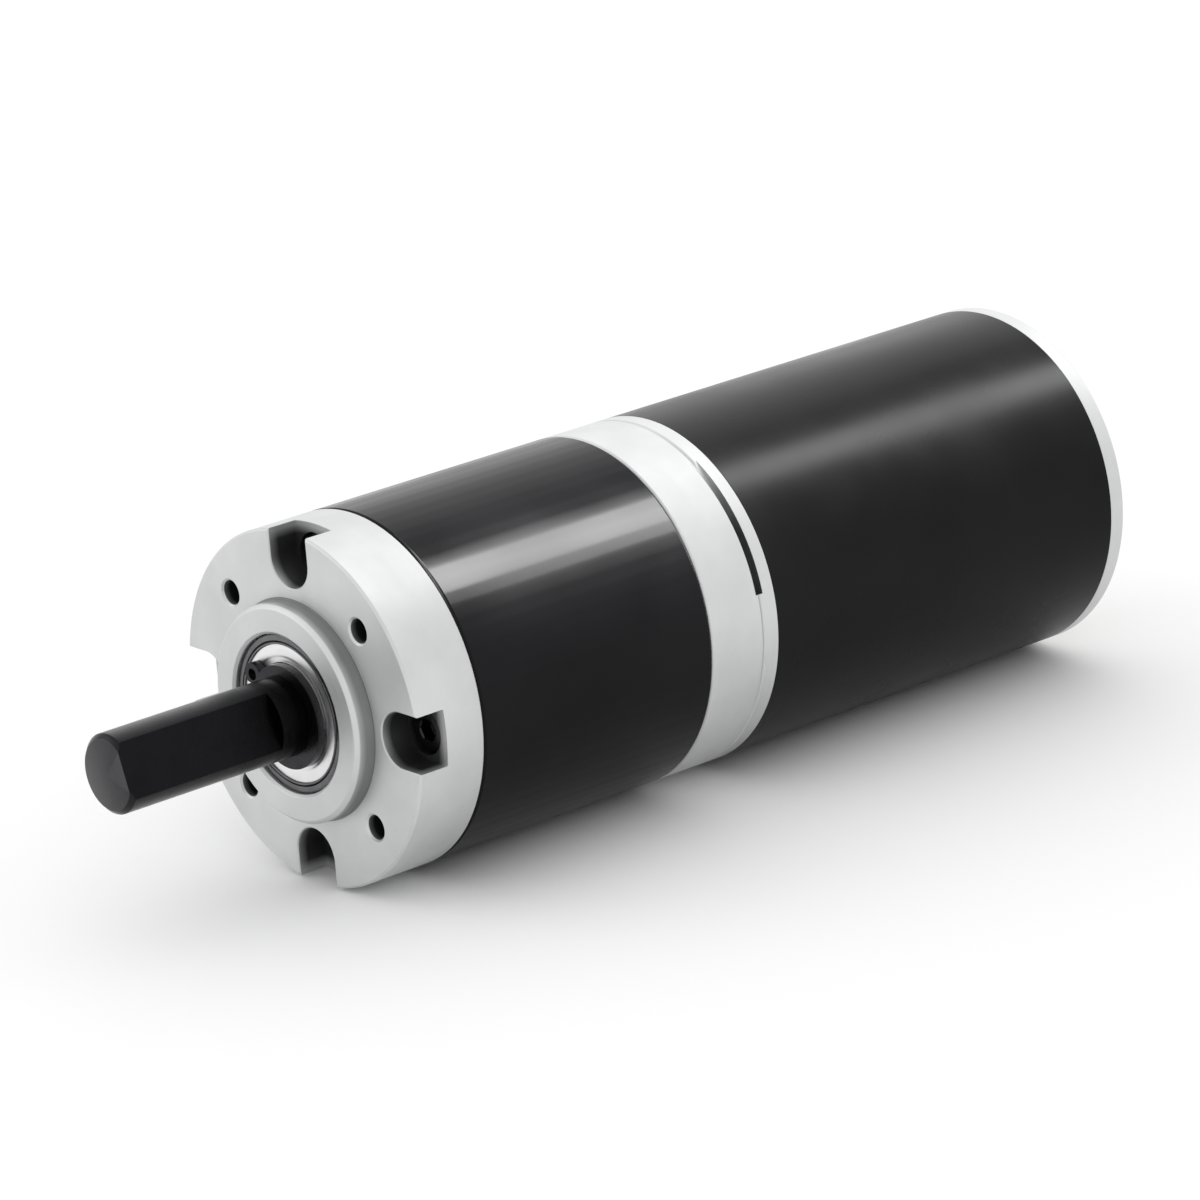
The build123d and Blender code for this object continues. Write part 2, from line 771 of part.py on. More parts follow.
coil_half_width = pole_neck_width / 2 + coil_side
coil_outer_radius = sqrt((pole_shoe_inner - running_clearance) ** 2 - coil_half_width**2)
coil_middle_station = (core_front + core_back) / 2
coil_radial = coil_outer_radius - coil_inner_radius
with BuildPart() as windings:
    for index in range(pole_count):
        angle = index * 360 / pole_count
        radial = Vector(1, 0, 0).rotate(Axis.Y, -angle)
        face_plane = Plane(
            origin=radial * coil_inner_radius + Vector(0, coil_middle_station, 0),
            x_dir=(0, 1, 0),
            z_dir=radial,
        )
        with BuildSketch(face_plane):
            Rectangle(core_length + 2 * coil_end, 2 * coil_half_width)
            Rectangle(
                core_length + 2 * seat_clearance,
                pole_neck_width + 2 * seat_clearance,
                mode=Mode.SUBTRACT,
            )
        extrude(amount=coil_radial)
save(windings, "windings")

commutator_back = commutator_front + commutator_length
hub_ring = ring(
    commutator_hub_radius, motor_shaft_radius + seat_clearance, commutator_front, commutator_back
)
save(hub_ring, "commutator_hub")
with BuildPart() as commutator_bars:
    with BuildSketch(crosswise(commutator_front)):
        Circle(commutator_radius)
        Circle(commutator_hub_radius + seat_clearance, mode=Mode.SUBTRACT)
        with PolarLocations(commutator_radius, pole_count, 180 / pole_count):
            Rectangle(commutator_radius, commutator_slot, mode=Mode.SUBTRACT)
    extrude(amount=commutator_front - commutator_back)
save(commutator_bars, "commutator_bars")

# Sintered bushes that carry the motor shaft in the two caps
bush_bore = motor_shaft_radius + running_clearance
save(ring(bush_radius, bush_bore, front_bush_front, front_bush_back), "motor_front_bush")
save(ring(bush_radius, bush_bore, bush_front, bush_back), "motor_rear_bush")

# Rear cap: spigot in the can, boss round the bush, recessed bolt seats and terminal slots
with BuildPart() as rear_cap:
    add(
        turned(
            [
                (bush_radius + seat_clearance, rear_cap_floor_front),
                (cap_spigot_radius, rear_cap_floor_front),
                (cap_spigot_radius, rear_cap_front),
                (cap_spigot_outer, rear_cap_front),
                (cap_spigot_outer, can_back),
                (body_radius, can_back),
                (body_radius, rear_cap_back),
                (rear_boss_radius, rear_cap_back),
                (rear_boss_radius, rear_boss_back),
                (bush_end_radius, rear_boss_back),
                (bush_end_radius, bush_back),
                (bush_radius + seat_clearance, bush_back),
            ]
        ).part
    )
    rim_edges = rear_cap.edges().filter_by(GeomType.CIRCLE)
    rim_edges = rim_edges.filter_by(lambda edge: edge.radius > body_radius - edge_chamfer)
    chamfer(rim_edges.sort_by(Axis.Y)[-1], rear_cap_chamfer)
    with BuildSketch(crosswise(rear_cap_front)):
        with PolarLocations(tie_bolt_circle, motor_screw_count):
            Circle(tie_bolt_hole_radius)
    extrude(amount=rear_cap_front - rear_cap_back, mode=Mode.SUBTRACT)
    with BuildSketch(crosswise(tie_bolt_seat)):
        with PolarLocations(tie_bolt_circle, motor_screw_count):
            Circle(tie_bolt_head_radius + tie_bolt_recess_clearance)
    extrude(amount=-tie_bolt_recess, mode=Mode.SUBTRACT)
    with BuildSketch(crosswise(rear_cap_floor_front)):
        with Locations((0, terminal_circle), (0, -terminal_circle)):
            Rectangle(slot_length, slot_height)
    extrude(amount=-cap_floor, mode=Mode.SUBTRACT)
save(rear_cap, "rear_cap")

tie_bolts = socket_screws(
    tie_bolt_seat,
    -1,
    tie_bolt_circle,
    motor_screw_count,
    0,
    tie_bolt_radius,
    tie_bolt_length,
    tie_bolt_head_radius,
    tie_bolt_head_height,
    tie_bolt_key,
    tie_bolt_key_depth,
)
save(tie_bolts, "tie_bolts")

# Brush gear: plate, two holders, brushes, bow springs, terminals and their insulators
with BuildPart() as brush_plate:
    with BuildSketch(crosswise(brush_plate_front)):
        Circle(cap_spigot_outer)
        Circle(brush_plate_bore, mode=Mode.SUBTRACT)
        with PolarLocations(tie_bolt_circle, motor_screw_count):
            Circle(tie_bolt_hole_radius, mode=Mode.SUBTRACT)
        with Locations((0, terminal_circle), (0, -terminal_circle)):
            Rectangle(
                terminal_width + 2 * seat_clearance,
                terminal_thickness + 2 * seat_clearance,
                mode=Mode.SUBTRACT,
            )
    extrude(amount=-brush_plate_thickness)
save(brush_plate, "brush_plate")

holder_outer_end = holder_inner_end + holder_length
with BuildPart() as brush_holders:
    for side in (1, -1):
        with BuildSketch(crosswise(holder_front)):
            with Locations((0, side * (holder_inner_end + holder_length / 2))):
                Rectangle(brush_width + 2 * holder_wall + 2 * running_clearance, holder_length)
        extrude(amount=-holder_depth)
        with BuildSketch(crosswise(brush_front - running_clearance)):
            with Locations((0, side * (holder_inner_end + (holder_length - holder_wall) / 2))):
                Rectangle(brush_width + 2 * running_clearance, holder_length - holder_wall)
        extrude(amount=-brush_thickness - 2 * running_clearance, mode=Mode.SUBTRACT)
save(brush_holders, "brush_holders")

brush_outer_end = brush_inner_end + brush_length
with BuildPart() as brushes:
    for side in (1, -1):
        with BuildSketch(crosswise(brush_front)):
            with Locations((0, side * (brush_inner_end + brush_length / 2))):
                Rectangle(brush_width, brush_length)
        extrude(amount=-brush_thickness)
save(brushes, "brushes")

spring_seat = holder_outer_end - holder_wall - seat_clearance
with BuildPart() as brush_springs:
    for side in (1, -1):
        with BuildSketch(crosswise(brush_front + (brush_thickness - spring_width) / 2)):
            with BuildLine():
                half = brush_width / 2
                outer_bow = ThreePointArc(
                    (-half, side * spring_seat),
                    (0, side * (brush_outer_end + spring_leaf + seat_clearance)),
                    (half, side * spring_seat),
                )
                inner_bow = ThreePointArc(
                    (-half, side * (spring_seat - spring_leaf)),
                    (0, side * (brush_outer_end + seat_clearance)),
                    (half, side * (spring_seat - spring_leaf)),
                )
                Line(outer_bow @ 0, inner_bow @ 0)
                Line(outer_bow @ 1, inner_bow @ 1)
            make_face()
        extrude(amount=-spring_width)
save(brush_springs, "brush_springs")

terminal_back = rear_cap_back + terminal_reach
with BuildPart() as terminals:
    with BuildSketch(crosswise(brush_plate_front)):
        with Locations((0, terminal_circle), (0, -terminal_circle)):
            Rectangle(terminal_width, terminal_thickness)
    extrude(amount=brush_plate_front - terminal_back)
save(terminals, "terminals")

insulator_front = brush_plate_back + seat_clearance
insulator_back = rear_cap_back + insulator_stand
with BuildPart() as terminal_insulators:
    with BuildSketch(crosswise(insulator_front)):
        with Locations((0, terminal_circle), (0, -terminal_circle)):
            Rectangle(slot_length - 2 * seat_clearance, slot_height - 2 * seat_clearance)
            Rectangle(
                terminal_width + 2 * seat_clearance,
                terminal_thickness + 2 * seat_clearance,
                mode=Mode.SUBTRACT,
            )
    extrude(amount=insulator_front - insulator_back)
save(terminal_insulators, "terminal_insulators")
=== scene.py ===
import json
import math

import bmesh
import bpy
import numpy as np
from mathutils import Matrix, Vector

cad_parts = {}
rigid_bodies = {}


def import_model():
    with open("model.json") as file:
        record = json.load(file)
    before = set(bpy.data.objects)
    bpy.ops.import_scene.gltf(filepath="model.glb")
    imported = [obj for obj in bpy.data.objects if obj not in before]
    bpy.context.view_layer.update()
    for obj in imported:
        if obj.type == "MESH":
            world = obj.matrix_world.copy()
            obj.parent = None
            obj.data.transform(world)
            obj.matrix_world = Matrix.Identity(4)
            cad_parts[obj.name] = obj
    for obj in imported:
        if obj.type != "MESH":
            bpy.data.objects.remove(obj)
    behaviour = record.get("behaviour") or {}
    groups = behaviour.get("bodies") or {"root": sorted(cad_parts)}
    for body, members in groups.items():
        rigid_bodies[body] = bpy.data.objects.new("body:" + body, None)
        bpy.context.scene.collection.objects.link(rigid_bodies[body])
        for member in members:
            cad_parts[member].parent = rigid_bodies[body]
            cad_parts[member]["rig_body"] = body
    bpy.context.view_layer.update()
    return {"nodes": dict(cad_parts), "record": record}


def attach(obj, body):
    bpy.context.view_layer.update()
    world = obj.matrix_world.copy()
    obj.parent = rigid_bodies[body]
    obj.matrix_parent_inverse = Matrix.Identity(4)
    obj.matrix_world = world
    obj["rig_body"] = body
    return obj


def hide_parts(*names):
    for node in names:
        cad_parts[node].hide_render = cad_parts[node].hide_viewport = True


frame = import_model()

# Planetary gearmotor. The output shaft points along -Y and the motor lies along +Y.
# Sizes below are in millimetres, stations are distances along +Y, and every mesh is made in metres.
mm = 0.001
print("frame loaded,", len(frame["nodes"]), "nodes")

roundSteps = 240            # columns in a full turn of the big turned parts
roundAngles = np.linspace(0, 2 * math.pi, roundSteps, endpoint=False)
smoothLimit = math.radians(28)   # sharper edges than this stay sharp
overcut = 1.0               # how far a cutter reaches past the face that it opens
boreSteps = 40              # columns in a full turn of a drilled hole
flatWeight = 90             # how strongly flat faces pull the shading
rimRound = 0.08             # rounding of a turned outer edge
spigotRound = 0.1           # rounding of a spigot's end
canRound = 0.06             # rounding of the can's edges and of the rims that meet it

# body stations shared by the turned parts
body = {
    "radius": 18.0,
    "flangeBack": 7.9,
    "spigotBack": 10.9,
    "ringBack": 37.0,
    "adapterBack": 43.8,
    "canFront": 45.7,
    "canBack": 92.3,
    "capBack": 94.5,
    "spigotRadius": 12.93,
    "registerRadius": 12.95,
    "canInnerRadius": 16.5,
    "capSpigotOuter": 16.48,
    "capSpigotInner": 13.2,
    "bushEndRadius": 2.4,
    "bushPocketRadius": 3.52,
}


# Meshes

def softCorners(corners, steps=4):
    # Outline from (radius, station, rounding) corners. Each corner C is cut back by its rounding
    # to A and B on its two edges, and (1-t)^2 A + 2t(1-t) C + t^2 B bridges them.
    data = np.array(corners, float)
    point, cut = data[:, :2], data[:, 2:]
    before = np.roll(point, 1, 0) - point
    after = np.roll(point, -1, 0) - point
    start = point + cut * before / np.linalg.norm(before, axis=1, keepdims=True)
    end = point + cut * after / np.linalg.norm(after, axis=1, keepdims=True)
    t = np.linspace(0, 1, steps + 1)[None, :, None]
    bridge = (1 - t) ** 2 * start[:, None] + 2 * t * (1 - t) * point[:, None] + t ** 2 * end[:, None]
    keep = np.repeat(cut[:, 0] > 0, steps + 1)
    keep[::steps + 1] = True
    return bridge.reshape(-1, 2)[keep]


def rim(front, back, edge):
    # the four corners of a full rim whose two edges are cut at 45 degrees
    full = body["radius"]
    return [(full - edge, front, rimRound), (full, front + edge, rimRound),
            (full, back - edge, rimRound), (full - edge, back, rimRound)]


def turnedGrid(radius, station, angles, centre=(0.0, 0.0)):
    # P(u, v) = (r cos u, s, r sin u) + centre, with r and s given for each column u and row v
    u = angles[:, None]
    x = radius * np.cos(u) + centre[0]
    z = radius * np.sin(u) + centre[1]
    return np.stack([x, np.broadcast_to(station, x.shape), z], -1)


def spun(outline, angles=roundAngles, centre=(0.0, 0.0)):
    # A closed outline of (radius, station) points turned about an axis along Y
    radius = np.broadcast_to(outline[:, 0], (len(angles), len(outline)))
    return turnedGrid(radius, outline[:, 1], angles, centre)


def newObject(name, data):
    made = bpy.data.objects.new(name, data)
    bpy.context.scene.collection.objects.link(made)
    return made


def gridPiece(name, grids, closedRows=True):
    # One object from grids of points, columns by rows. Columns join round; rows join where closedRows.
    points = np.stack(grids)
    count, columns, rows = points.shape[:3]
    index = np.arange(count * columns * rows).reshape(count, columns, rows)
    beside = np.roll(index, -1, 1)
    quads = np.stack([index, np.roll(index, -1, 2), np.roll(beside, -1, 2), beside], -1)
    if not closedRows:
        quads = quads[:, :, :-1]
    mesh = bpy.data.meshes.new(name)
    mesh.from_pydata(points.reshape(-1, 3) * mm, [], quads.reshape(-1, 4).tolist())
    cleanMesh(mesh)
    return newObject(name, mesh)


def cleanMesh(mesh, gap=2e-7, turnOut=True):
    # merges points that meet, closes poles and, unless told not to, turns every face outwards
    work = bmesh.new()
    work.from_mesh(mesh)
    bmesh.ops.remove_doubles(work, verts=work.verts, dist=gap)
    bmesh.ops.dissolve_degenerate(work, edges=work.edges, dist=gap)
    if turnOut:
        bmesh.ops.recalc_face_normals(work, faces=work.faces)
    work.to_mesh(mesh)
    work.free()


def settle(piece):
    # makes the piece's modifiers part of its mesh
    bpy.context.view_layer.update()
    solved = piece.evaluated_get(bpy.context.evaluated_depsgraph_get())
    shape = bpy.data.meshes.new_from_object(solved)
    piece.modifiers.clear()
    piece.data = shape


def cutAway(piece, *cutters):
    # takes each cutter out of the piece and then removes it
    for cutter in cutters:
        cut = piece.modifiers.new("cut", "BOOLEAN")
        cut.operation = "DIFFERENCE"
        cut.solver = "EXACT"
        cut.object = cutter
        settle(piece)
        bpy.data.objects.remove(cutter)
    cleanMesh(piece.data, 1e-6, turnOut=False)


def onCircle(circle, angles):
    # (c cos a, c sin a) for each angle a in degrees on a circle of radius c
    return [(circle * math.cos(a), circle * math.sin(a)) for a in np.radians(angles)]


def bores(name, circle, angles, radius, front, back, flare=0.0):
    # Round holes along Y on a circle, each the line (radius, front) to (radius, back) turned about its own
    # axis. With a flare, the front mouth is a cone that opens as fast as it rises.
    holeAngles = np.linspace(0, 2 * math.pi, boreSteps, endpoint=False)
    mouth = [(0, front), (radius, front)]
    if flare:
        mouth = [(0, front - overcut), (radius + flare + overcut, front - overcut), (radius, front + flare)]
    outline = np.array([*mouth, (radius, back), (0, back)], float)
    holes = [spun(outline, holeAngles, centre) for centre in onCircle(circle, angles)]
    return gridPiece(name, holes, closedRows=False)


def finishEdges(piece):
    # smooth shading with sharp edges kept, weighted so that flat faces stay flat
    mesh = piece.data
    mesh.polygons.foreach_set("use_smooth", np.ones(len(mesh.polygons), bool))
    mesh.set_sharp_from_angle(angle=smoothLimit)
    weighted = piece.modifiers.new("weighted", "WEIGHTED_NORMAL")
    weighted.keep_sharp = True
    weighted.weight = flatWeight


pieces = {}


def standIn(piece, bodyName, slotName, *nodes, finish=None):
    # the piece rides on a body and is shown in place of CAD nodes
    finishEdges(piece)
    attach(piece, bodyName)
    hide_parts(*nodes)
    piece.data.materials.clear()
    piece.data.materials.append(finishOf[finish or slotName])
    pieces[piece.name] = piece


def smoothCopy(node):
    # a copy of a small CAD node with its points merged, so that round faces shade round
    source = frame["nodes"][node]
    piece = newObject(node + "_smooth", source.data.copy())
    cleanMesh(piece.data, 1e-6)
    standIn(piece, source["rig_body"], slotOf[node], node)


# Finishes

class NodeWork:
    # short ways to add and join shader nodes
    def __init__(self, name):
        self.material = bpy.data.materials.new(name)
        self.material.use_nodes = True
        self.nodes = self.material.node_tree.nodes
        self.links = self.material.node_tree.links
        self.shader = self.nodes["Principled BSDF"]
        self.place = self.nodes.new("ShaderNodeTexCoord").outputs["Object"]

    def axes(self):
        split = self.nodes.new("ShaderNodeSeparateXYZ")
        self.links.new(self.place, split.inputs[0])
        return split.outputs

    def feed(self, value, socket):
        if isinstance(value, (int, float, tuple)):
            socket.default_value = value
        else:
            self.links.new(value, socket)

    def math(self, operation, first, second=0.0):
        node = self.nodes.new("ShaderNodeMath")
        node.operation = operation
        self.feed(first, node.inputs[0])
        self.feed(second, node.inputs[1])
        return node.outputs[0]

    def length(self, first, second):
        # the square root of the sum of two squares
        return self.math("SQRT", self.math("ADD", self.math("MULTIPLY", first, first),
                                           self.math("MULTIPLY", second, second)))

    def between(self, value, low, high):
        # 1 where the value lies between two limits
        return self.both(self.math("GREATER_THAN", value, low), self.math("LESS_THAN", value, high))

    def weigh(self, *shares):
        # the sum of each value times its share
        total = self.math("MULTIPLY", *shares[0])
        for share in shares[1:]:
            total = self.math("ADD", total, self.math("MULTIPLY", *share))
        return total

    def noise(self, vector, scale, detail, roughness):
        node = self.nodes.new("ShaderNodeTexNoise")
        self.feed(vector, node.inputs["Vector"])
        node.inputs["Scale"].default_value = scale
        node.inputs["Detail"].default_value = detail
        node.inputs["Roughness"].default_value = roughness
        return node.outputs["Fac"]

    def spread(self, value, low, high, start=0.3, end=0.7):
        # maps start..end of a value to low..high
        node = self.nodes.new("ShaderNodeMapRange")
        self.feed(value, node.inputs["Value"])
        node.inputs["From Min"].default_value = start
        node.inputs["From Max"].default_value = end
        node.inputs["To Min"].default_value = low
        node.inputs["To Max"].default_value = high
        return node.outputs["Result"]

    def fade(self, value, low, high, start, end):
        # the same for a place, with its start and end in millimetres
        return self.spread(value, low, high, start * mm, end * mm)

    def tint(self, value, dark, pale, start=0.3, end=0.7):
        ramp = self.nodes.new("ShaderNodeValToRGB")
        ramp.color_ramp.elements[0].position = start
        ramp.color_ramp.elements[0].color = (*dark, 1.0)
        ramp.color_ramp.elements[1].position = end
        ramp.color_ramp.elements[1].color = (*pale, 1.0)
        self.feed(value, ramp.inputs["Fac"])
        return ramp.outputs["Color"]

    def lathePlace(self, twist):
        # (distance from the axis, station, twist x angle): lines that run round the part
        x, y, z = self.axes()
        angle = self.math("MULTIPLY", self.math("ARCTAN2", z, x), twist)
        join = self.nodes.new("ShaderNodeCombineXYZ")
        self.feed(self.length(x, z), join.inputs[0])
        self.feed(y, join.inputs[1])
        self.feed(angle, join.inputs[2])
        return join.outputs[0]

    def blend(self, share, first, second):
        # 6, 7 and 2 are a mix node's colour sockets
        node = self.nodes.new("ShaderNodeMix")
        node.data_type = "RGBA"
        self.feed(share, node.inputs["Factor"])
        self.feed(first, node.inputs[6])
        self.feed(second, node.inputs[7])
        return node.outputs[2]

    def both(self, *factors):
        # the product of factors from 0 to 1, so it is 1 only where all of them are
        total = factors[0]
        for factor in factors[1:]:
            total = self.math("MULTIPLY", total, factor)
        return total

    def paintedRecessShade(self, at):
        # painted shade: near 1 in the screw slots, mounting holes and parting relief, less on the pilot
        # boss's wall
        x, y, z = self.axes()
        flatX, flatZ = self.math("ABSOLUTE", x), self.math("ABSOLUTE", z)
        radius = self.length(x, z)
        angle = self.math("ARCTAN2", z, x)
        slots = self.both(
            self.math("LESS_THAN", self.math("MINIMUM", flatX, flatZ), at["slotHalfWidth"] * mm),
            self.math("GREATER_THAN", self.math("MAXIMUM", flatX, flatZ), at["slotInner"] * mm),
            self.between(y, at["slotFront"] * mm, at["slotBack"] * mm),
            self.fade(y, *at["slotDeepening"]),
            self.fade(radius, *at["slotOpening"]),
            self.math("LESS_THAN", radius, at["slotOuter"] * mm))
        holeSide = at["holeCircle"] * mm * math.sqrt(0.5)
        fromHole = [self.math("SUBTRACT", side, holeSide) for side in (flatX, flatZ)]
        holes = self.both(
            self.math("LESS_THAN", self.length(*fromHole), at["holeRadius"] * mm),
            self.math("LESS_THAN", y, at["holeBack"] * mm),
            self.fade(y, *at["holeDeepening"]))
        startAngle, *endAngles = np.radians([at["reliefStart"], *at["reliefRunOut"]]).tolist()
        relief = self.both(
            self.between(y, at["reliefFront"] * mm, at["reliefBack"] * mm),
            self.math("LESS_THAN", radius, at["reliefOuter"] * mm),
            self.math("GREATER_THAN", angle, startAngle),
            self.spread(angle, at["reliefShare"], 0.0, *endAngles))
        wall = self.both(
            self.between(radius, at["wallInner"] * mm, at["wallOuter"] * mm),
            self.math("LESS_THAN", y, at["wallBack"] * mm),
            self.fade(y, *at["wallDeepening"]))
        return self.math("MINIMUM", self.weigh(*[(part, 1.0) for part in (slots, holes, relief, wall)]), 1.0)

    def bump(self, height, strength, depth=2e-5):
        node = self.nodes.new("ShaderNodeBump")
        node.inputs["Strength"].default_value = strength
        node.inputs["Distance"].default_value = depth
        self.feed(height, node.inputs["Height"])
        self.links.new(node.outputs["Normal"], self.shader.inputs["Normal"])

    def put(self, **values):
        names = {"colour": "Base Color", "metallic": "Metallic", "roughness": "Roughness",
                 "specular": "Specular IOR Level"}
        for key, value in values.items():
            self.feed(value, self.shader.inputs[names[key]])


# Where painted shade darkens the turned aluminium, in millimetres and degrees. Each deepening, opening or
# run-out is a
# fade: the share at its start, the share at its end, and the two places.
recesses = {
    "slotHalfWidth": 2.9,
    "slotInner": 12.0,
    "slotOuter": 17.93,
    "slotFront": 0.02,
    "slotBack": 7.85,
    "slotDeepening": (0.0, 0.98, -0.2, 1.15),
    "slotOpening": (1.0, 0.25, 16.7, 17.6),
    "holeCircle": 14.0,
    "holeRadius": 1.32,
    "holeBack": 6.5,
    "holeDeepening": (0.0, 1.0, 0.15, 0.9),
    "reliefFront": 43.21,
    "reliefBack": 44.31,
    "reliefOuter": 17.95,
    "reliefStart": 10.9,
    "reliefRunOut": (32, 56),
    "reliefShare": 0.68,
    "wallInner": 10.97,
    "wallOuter": 11.2,
    "wallBack": 0.1,
    "wallDeepening": (0.0, 0.62, -2.0, -0.9),
}

cloudRange = (0.35, 0.65)   # the part of a mixed noise over which a tone goes from dark to pale

# Each noise is its scale, detail and roughness
satinAluminium = {
    "dark": (0.59, 0.595, 0.595),
    "pale": (0.68, 0.685, 0.685),
    "roughness": (0.50, 0.58),
    # the colour of the painted shade in the slots, holes, relief and on the pilot wall
    "recess": (0.06, 0.06, 0.063, 1.0),
    "twist": 0.00012,
    "toolLines": (5200, 3.0, 0.6),
    "clouds": (90, 4.0, 0.55),
    "specks": (2400, 2.0, 0.5),
    "speckShare": 0.4,
    "cloudShare": 0.8,
    "bump": 0.06,
}
paleAluminium = {**satinAluminium, "dark": (0.60, 0.605, 0.605), "pale": (0.67, 0.675, 0.675),
                 "roughness": (0.46, 0.54)}


def makeSatinAluminium(name, look):
    # clear anodised and fine turned: rings from the tool, soft cloudy tone, a few darker specks, and painted
    # shade in the slots, holes, relief and on the pilot wall
    work = NodeWork(name)
    lines = work.noise(work.lathePlace(look["twist"]), *look["toolLines"])
    clouds = work.noise(work.place, *look["clouds"])
    specks = work.noise(work.place, *look["specks"])
    mixed = work.weigh((clouds, look["cloudShare"]), (lines, 1 - look["cloudShare"]))
    tone = work.tint(mixed, look["dark"], look["pale"], *cloudRange)
    # the recess colour laid over the tone here is painted shade
    work.put(colour=work.blend(work.paintedRecessShade(recesses), tone, look["recess"]), metallic=1.0,
             roughness=work.spread(lines, *look["roughness"]))
    work.bump(work.weigh((lines, 1.0), (specks, look["speckShare"])), look["bump"])
    return work.material


glossBlack = {
    "dark": (0.001, 0.001, 0.0013),
    "pale": (0.0025, 0.0025, 0.003),
    "roughness": (0.17, 0.24),
    "specular": 0.12,
    "twist": 0.0001,
    "toolLines": (2600, 3.0, 0.6),
    "clouds": (70, 2.0, 0.5),
    "peel": (1500, 2.0, 0.5),
    "dust": (5200, 1.0, 0.4),
    "heightShares": (0.5, 0.5, 0.15),
    "bump": 0.025,
}
satinBlack = {**glossBlack, "dark": (0.0015, 0.0015, 0.0018), "pale": (0.004, 0.004, 0.0045),
              "roughness": (0.22, 0.32), "toolLines": (1800, 3.0, 0.6), "bump": 0.1}


def makeBlackCoat(name, look):
    # lacquer over a turned surface: faint rings show through, and dust dulls it in patches
    work = NodeWork(name)
    lines = work.noise(work.lathePlace(look["twist"]), *look["toolLines"])
    clouds = work.noise(work.place, *look["clouds"])
    peel = work.noise(work.place, *look["peel"])
    dust = work.noise(work.place, *look["dust"])
    work.put(colour=work.tint(clouds, look["dark"], look["pale"]), metallic=0.0, specular=look["specular"],
             roughness=work.spread(clouds, *look["roughness"]))
    work.bump(work.weigh(*zip((lines, peel, dust), look["heightShares"])), look["bump"])
    return work.material


shaftFlatAngle = math.radians(18)
shaftBlack = {
    # painted light: one black oxide in three tones by face, the end face paler as a painted highlight and
    # the flat darker as painted shade
    "round": (0.024, 0.024, 0.026, 1.0),
    "flat": (0.013, 0.013, 0.0145, 1.0),
    "end": (0.055, 0.055, 0.058, 1.0),
    # painted shade: the shaft is darkened towards this colour near the bearing
    "bearingShadeTone": (0.0, 0.0, 0.0, 1.0),
    "roughness": (0.26, 0.34),
    "flatPlane": (2.86, 2.94),
    "flatBack": -5.4,
    "endBack": -23.35,
    # how the painted shade fades in towards the bearing: the share at its start, the share at its end, and
    # the two places
    "bearingShadeFade": (1.0, 0.55, -11.0, -5.0),
    "cloudShade": (0.85, 1.1),
    "twist": 0.0003,
    "toolLines": (6000, 3.0, 0.6),
    "clouds": (300, 4.0, 0.6),
    "bump": 0.04,
}


def makeShaftBlack(name, look):
    # black oxide, with painted light by face: the turned end is painted palest, the milled flat darkest, and
    # painted shade darkens it towards the bearing
    work = NodeWork(name)
    x, y, z = work.axes()
    along = work.weigh((x, math.cos(shaftFlatAngle)), (z, math.sin(shaftFlatAngle)))
    onFlat = work.both(work.between(along, *[place * mm for place in look["flatPlane"]]),
                       work.math("LESS_THAN", y, look["flatBack"] * mm))
    onEnd = work.math("LESS_THAN", y, look["endBack"] * mm)
    grain = work.noise(work.lathePlace(look["twist"]), *look["toolLines"])
    clouds = work.noise(work.place, *look["clouds"])
    # painted shade towards the bearing, times a random cloudy tone
    shade = work.both(work.fade(y, *look["bearingShadeFade"]), work.spread(clouds, *look["cloudShade"]))
    # painted light by face: the end face paler, the flat darker
    tone = work.blend(onEnd, work.blend(onFlat, look["round"], look["flat"]), look["end"])
    work.put(colour=work.blend(shade, look["bearingShadeTone"], tone), metallic=1.0,
             roughness=work.spread(grain, *look["roughness"]))
    work.bump(grain, look["bump"])
    return work.material


# What the plain metals share, and what the moulded and fired materials share
plainMetal = {"twist": 0.001, "lineDetail": (3.0, 0.6), "clouds": (260, 4.0, 0.6), "cloudShare": 0.6}
plainMoulding = {"grainDetail": (4.0, 0.6), "clouds": (120, 3.0, 0.5), "specular": 0.4, "bump": 0.2,
                 "bumpDepth": 4e-5}


def makeMetal(name, dark, pale, roughness, lines, bump=0.12):
    # plain machined or pressed metal, lines run round the shaft axis
    work = NodeWork(name)
    grain = work.noise(work.lathePlace(plainMetal["twist"]), lines, *plainMetal["lineDetail"])
    clouds = work.noise(work.place, *plainMetal["clouds"])
    mixed = work.weigh((clouds, plainMetal["cloudShare"]), (grain, 1 - plainMetal["cloudShare"]))
    work.put(colour=work.tint(mixed, dark, pale, *cloudRange), metallic=1.0,
             roughness=work.spread(grain, *roughness))
    work.bump(grain, bump)
    return work.material


def makeDull(name, dark, pale, roughness, scale):
    # moulded, pressed or fired material with a fine grain
    work = NodeWork(name)
    grain = work.noise(work.place, scale, *plainMoulding["grainDetail"])
    clouds = work.noise(work.place, *plainMoulding["clouds"])
    work.put(colour=work.tint(clouds, dark, pale), metallic=0.0, specular=plainMoulding["specular"],
             roughness=work.spread(grain, *roughness))
    work.bump(grain, plainMoulding["bump"], plainMoulding["bumpDepth"])
    return work.material


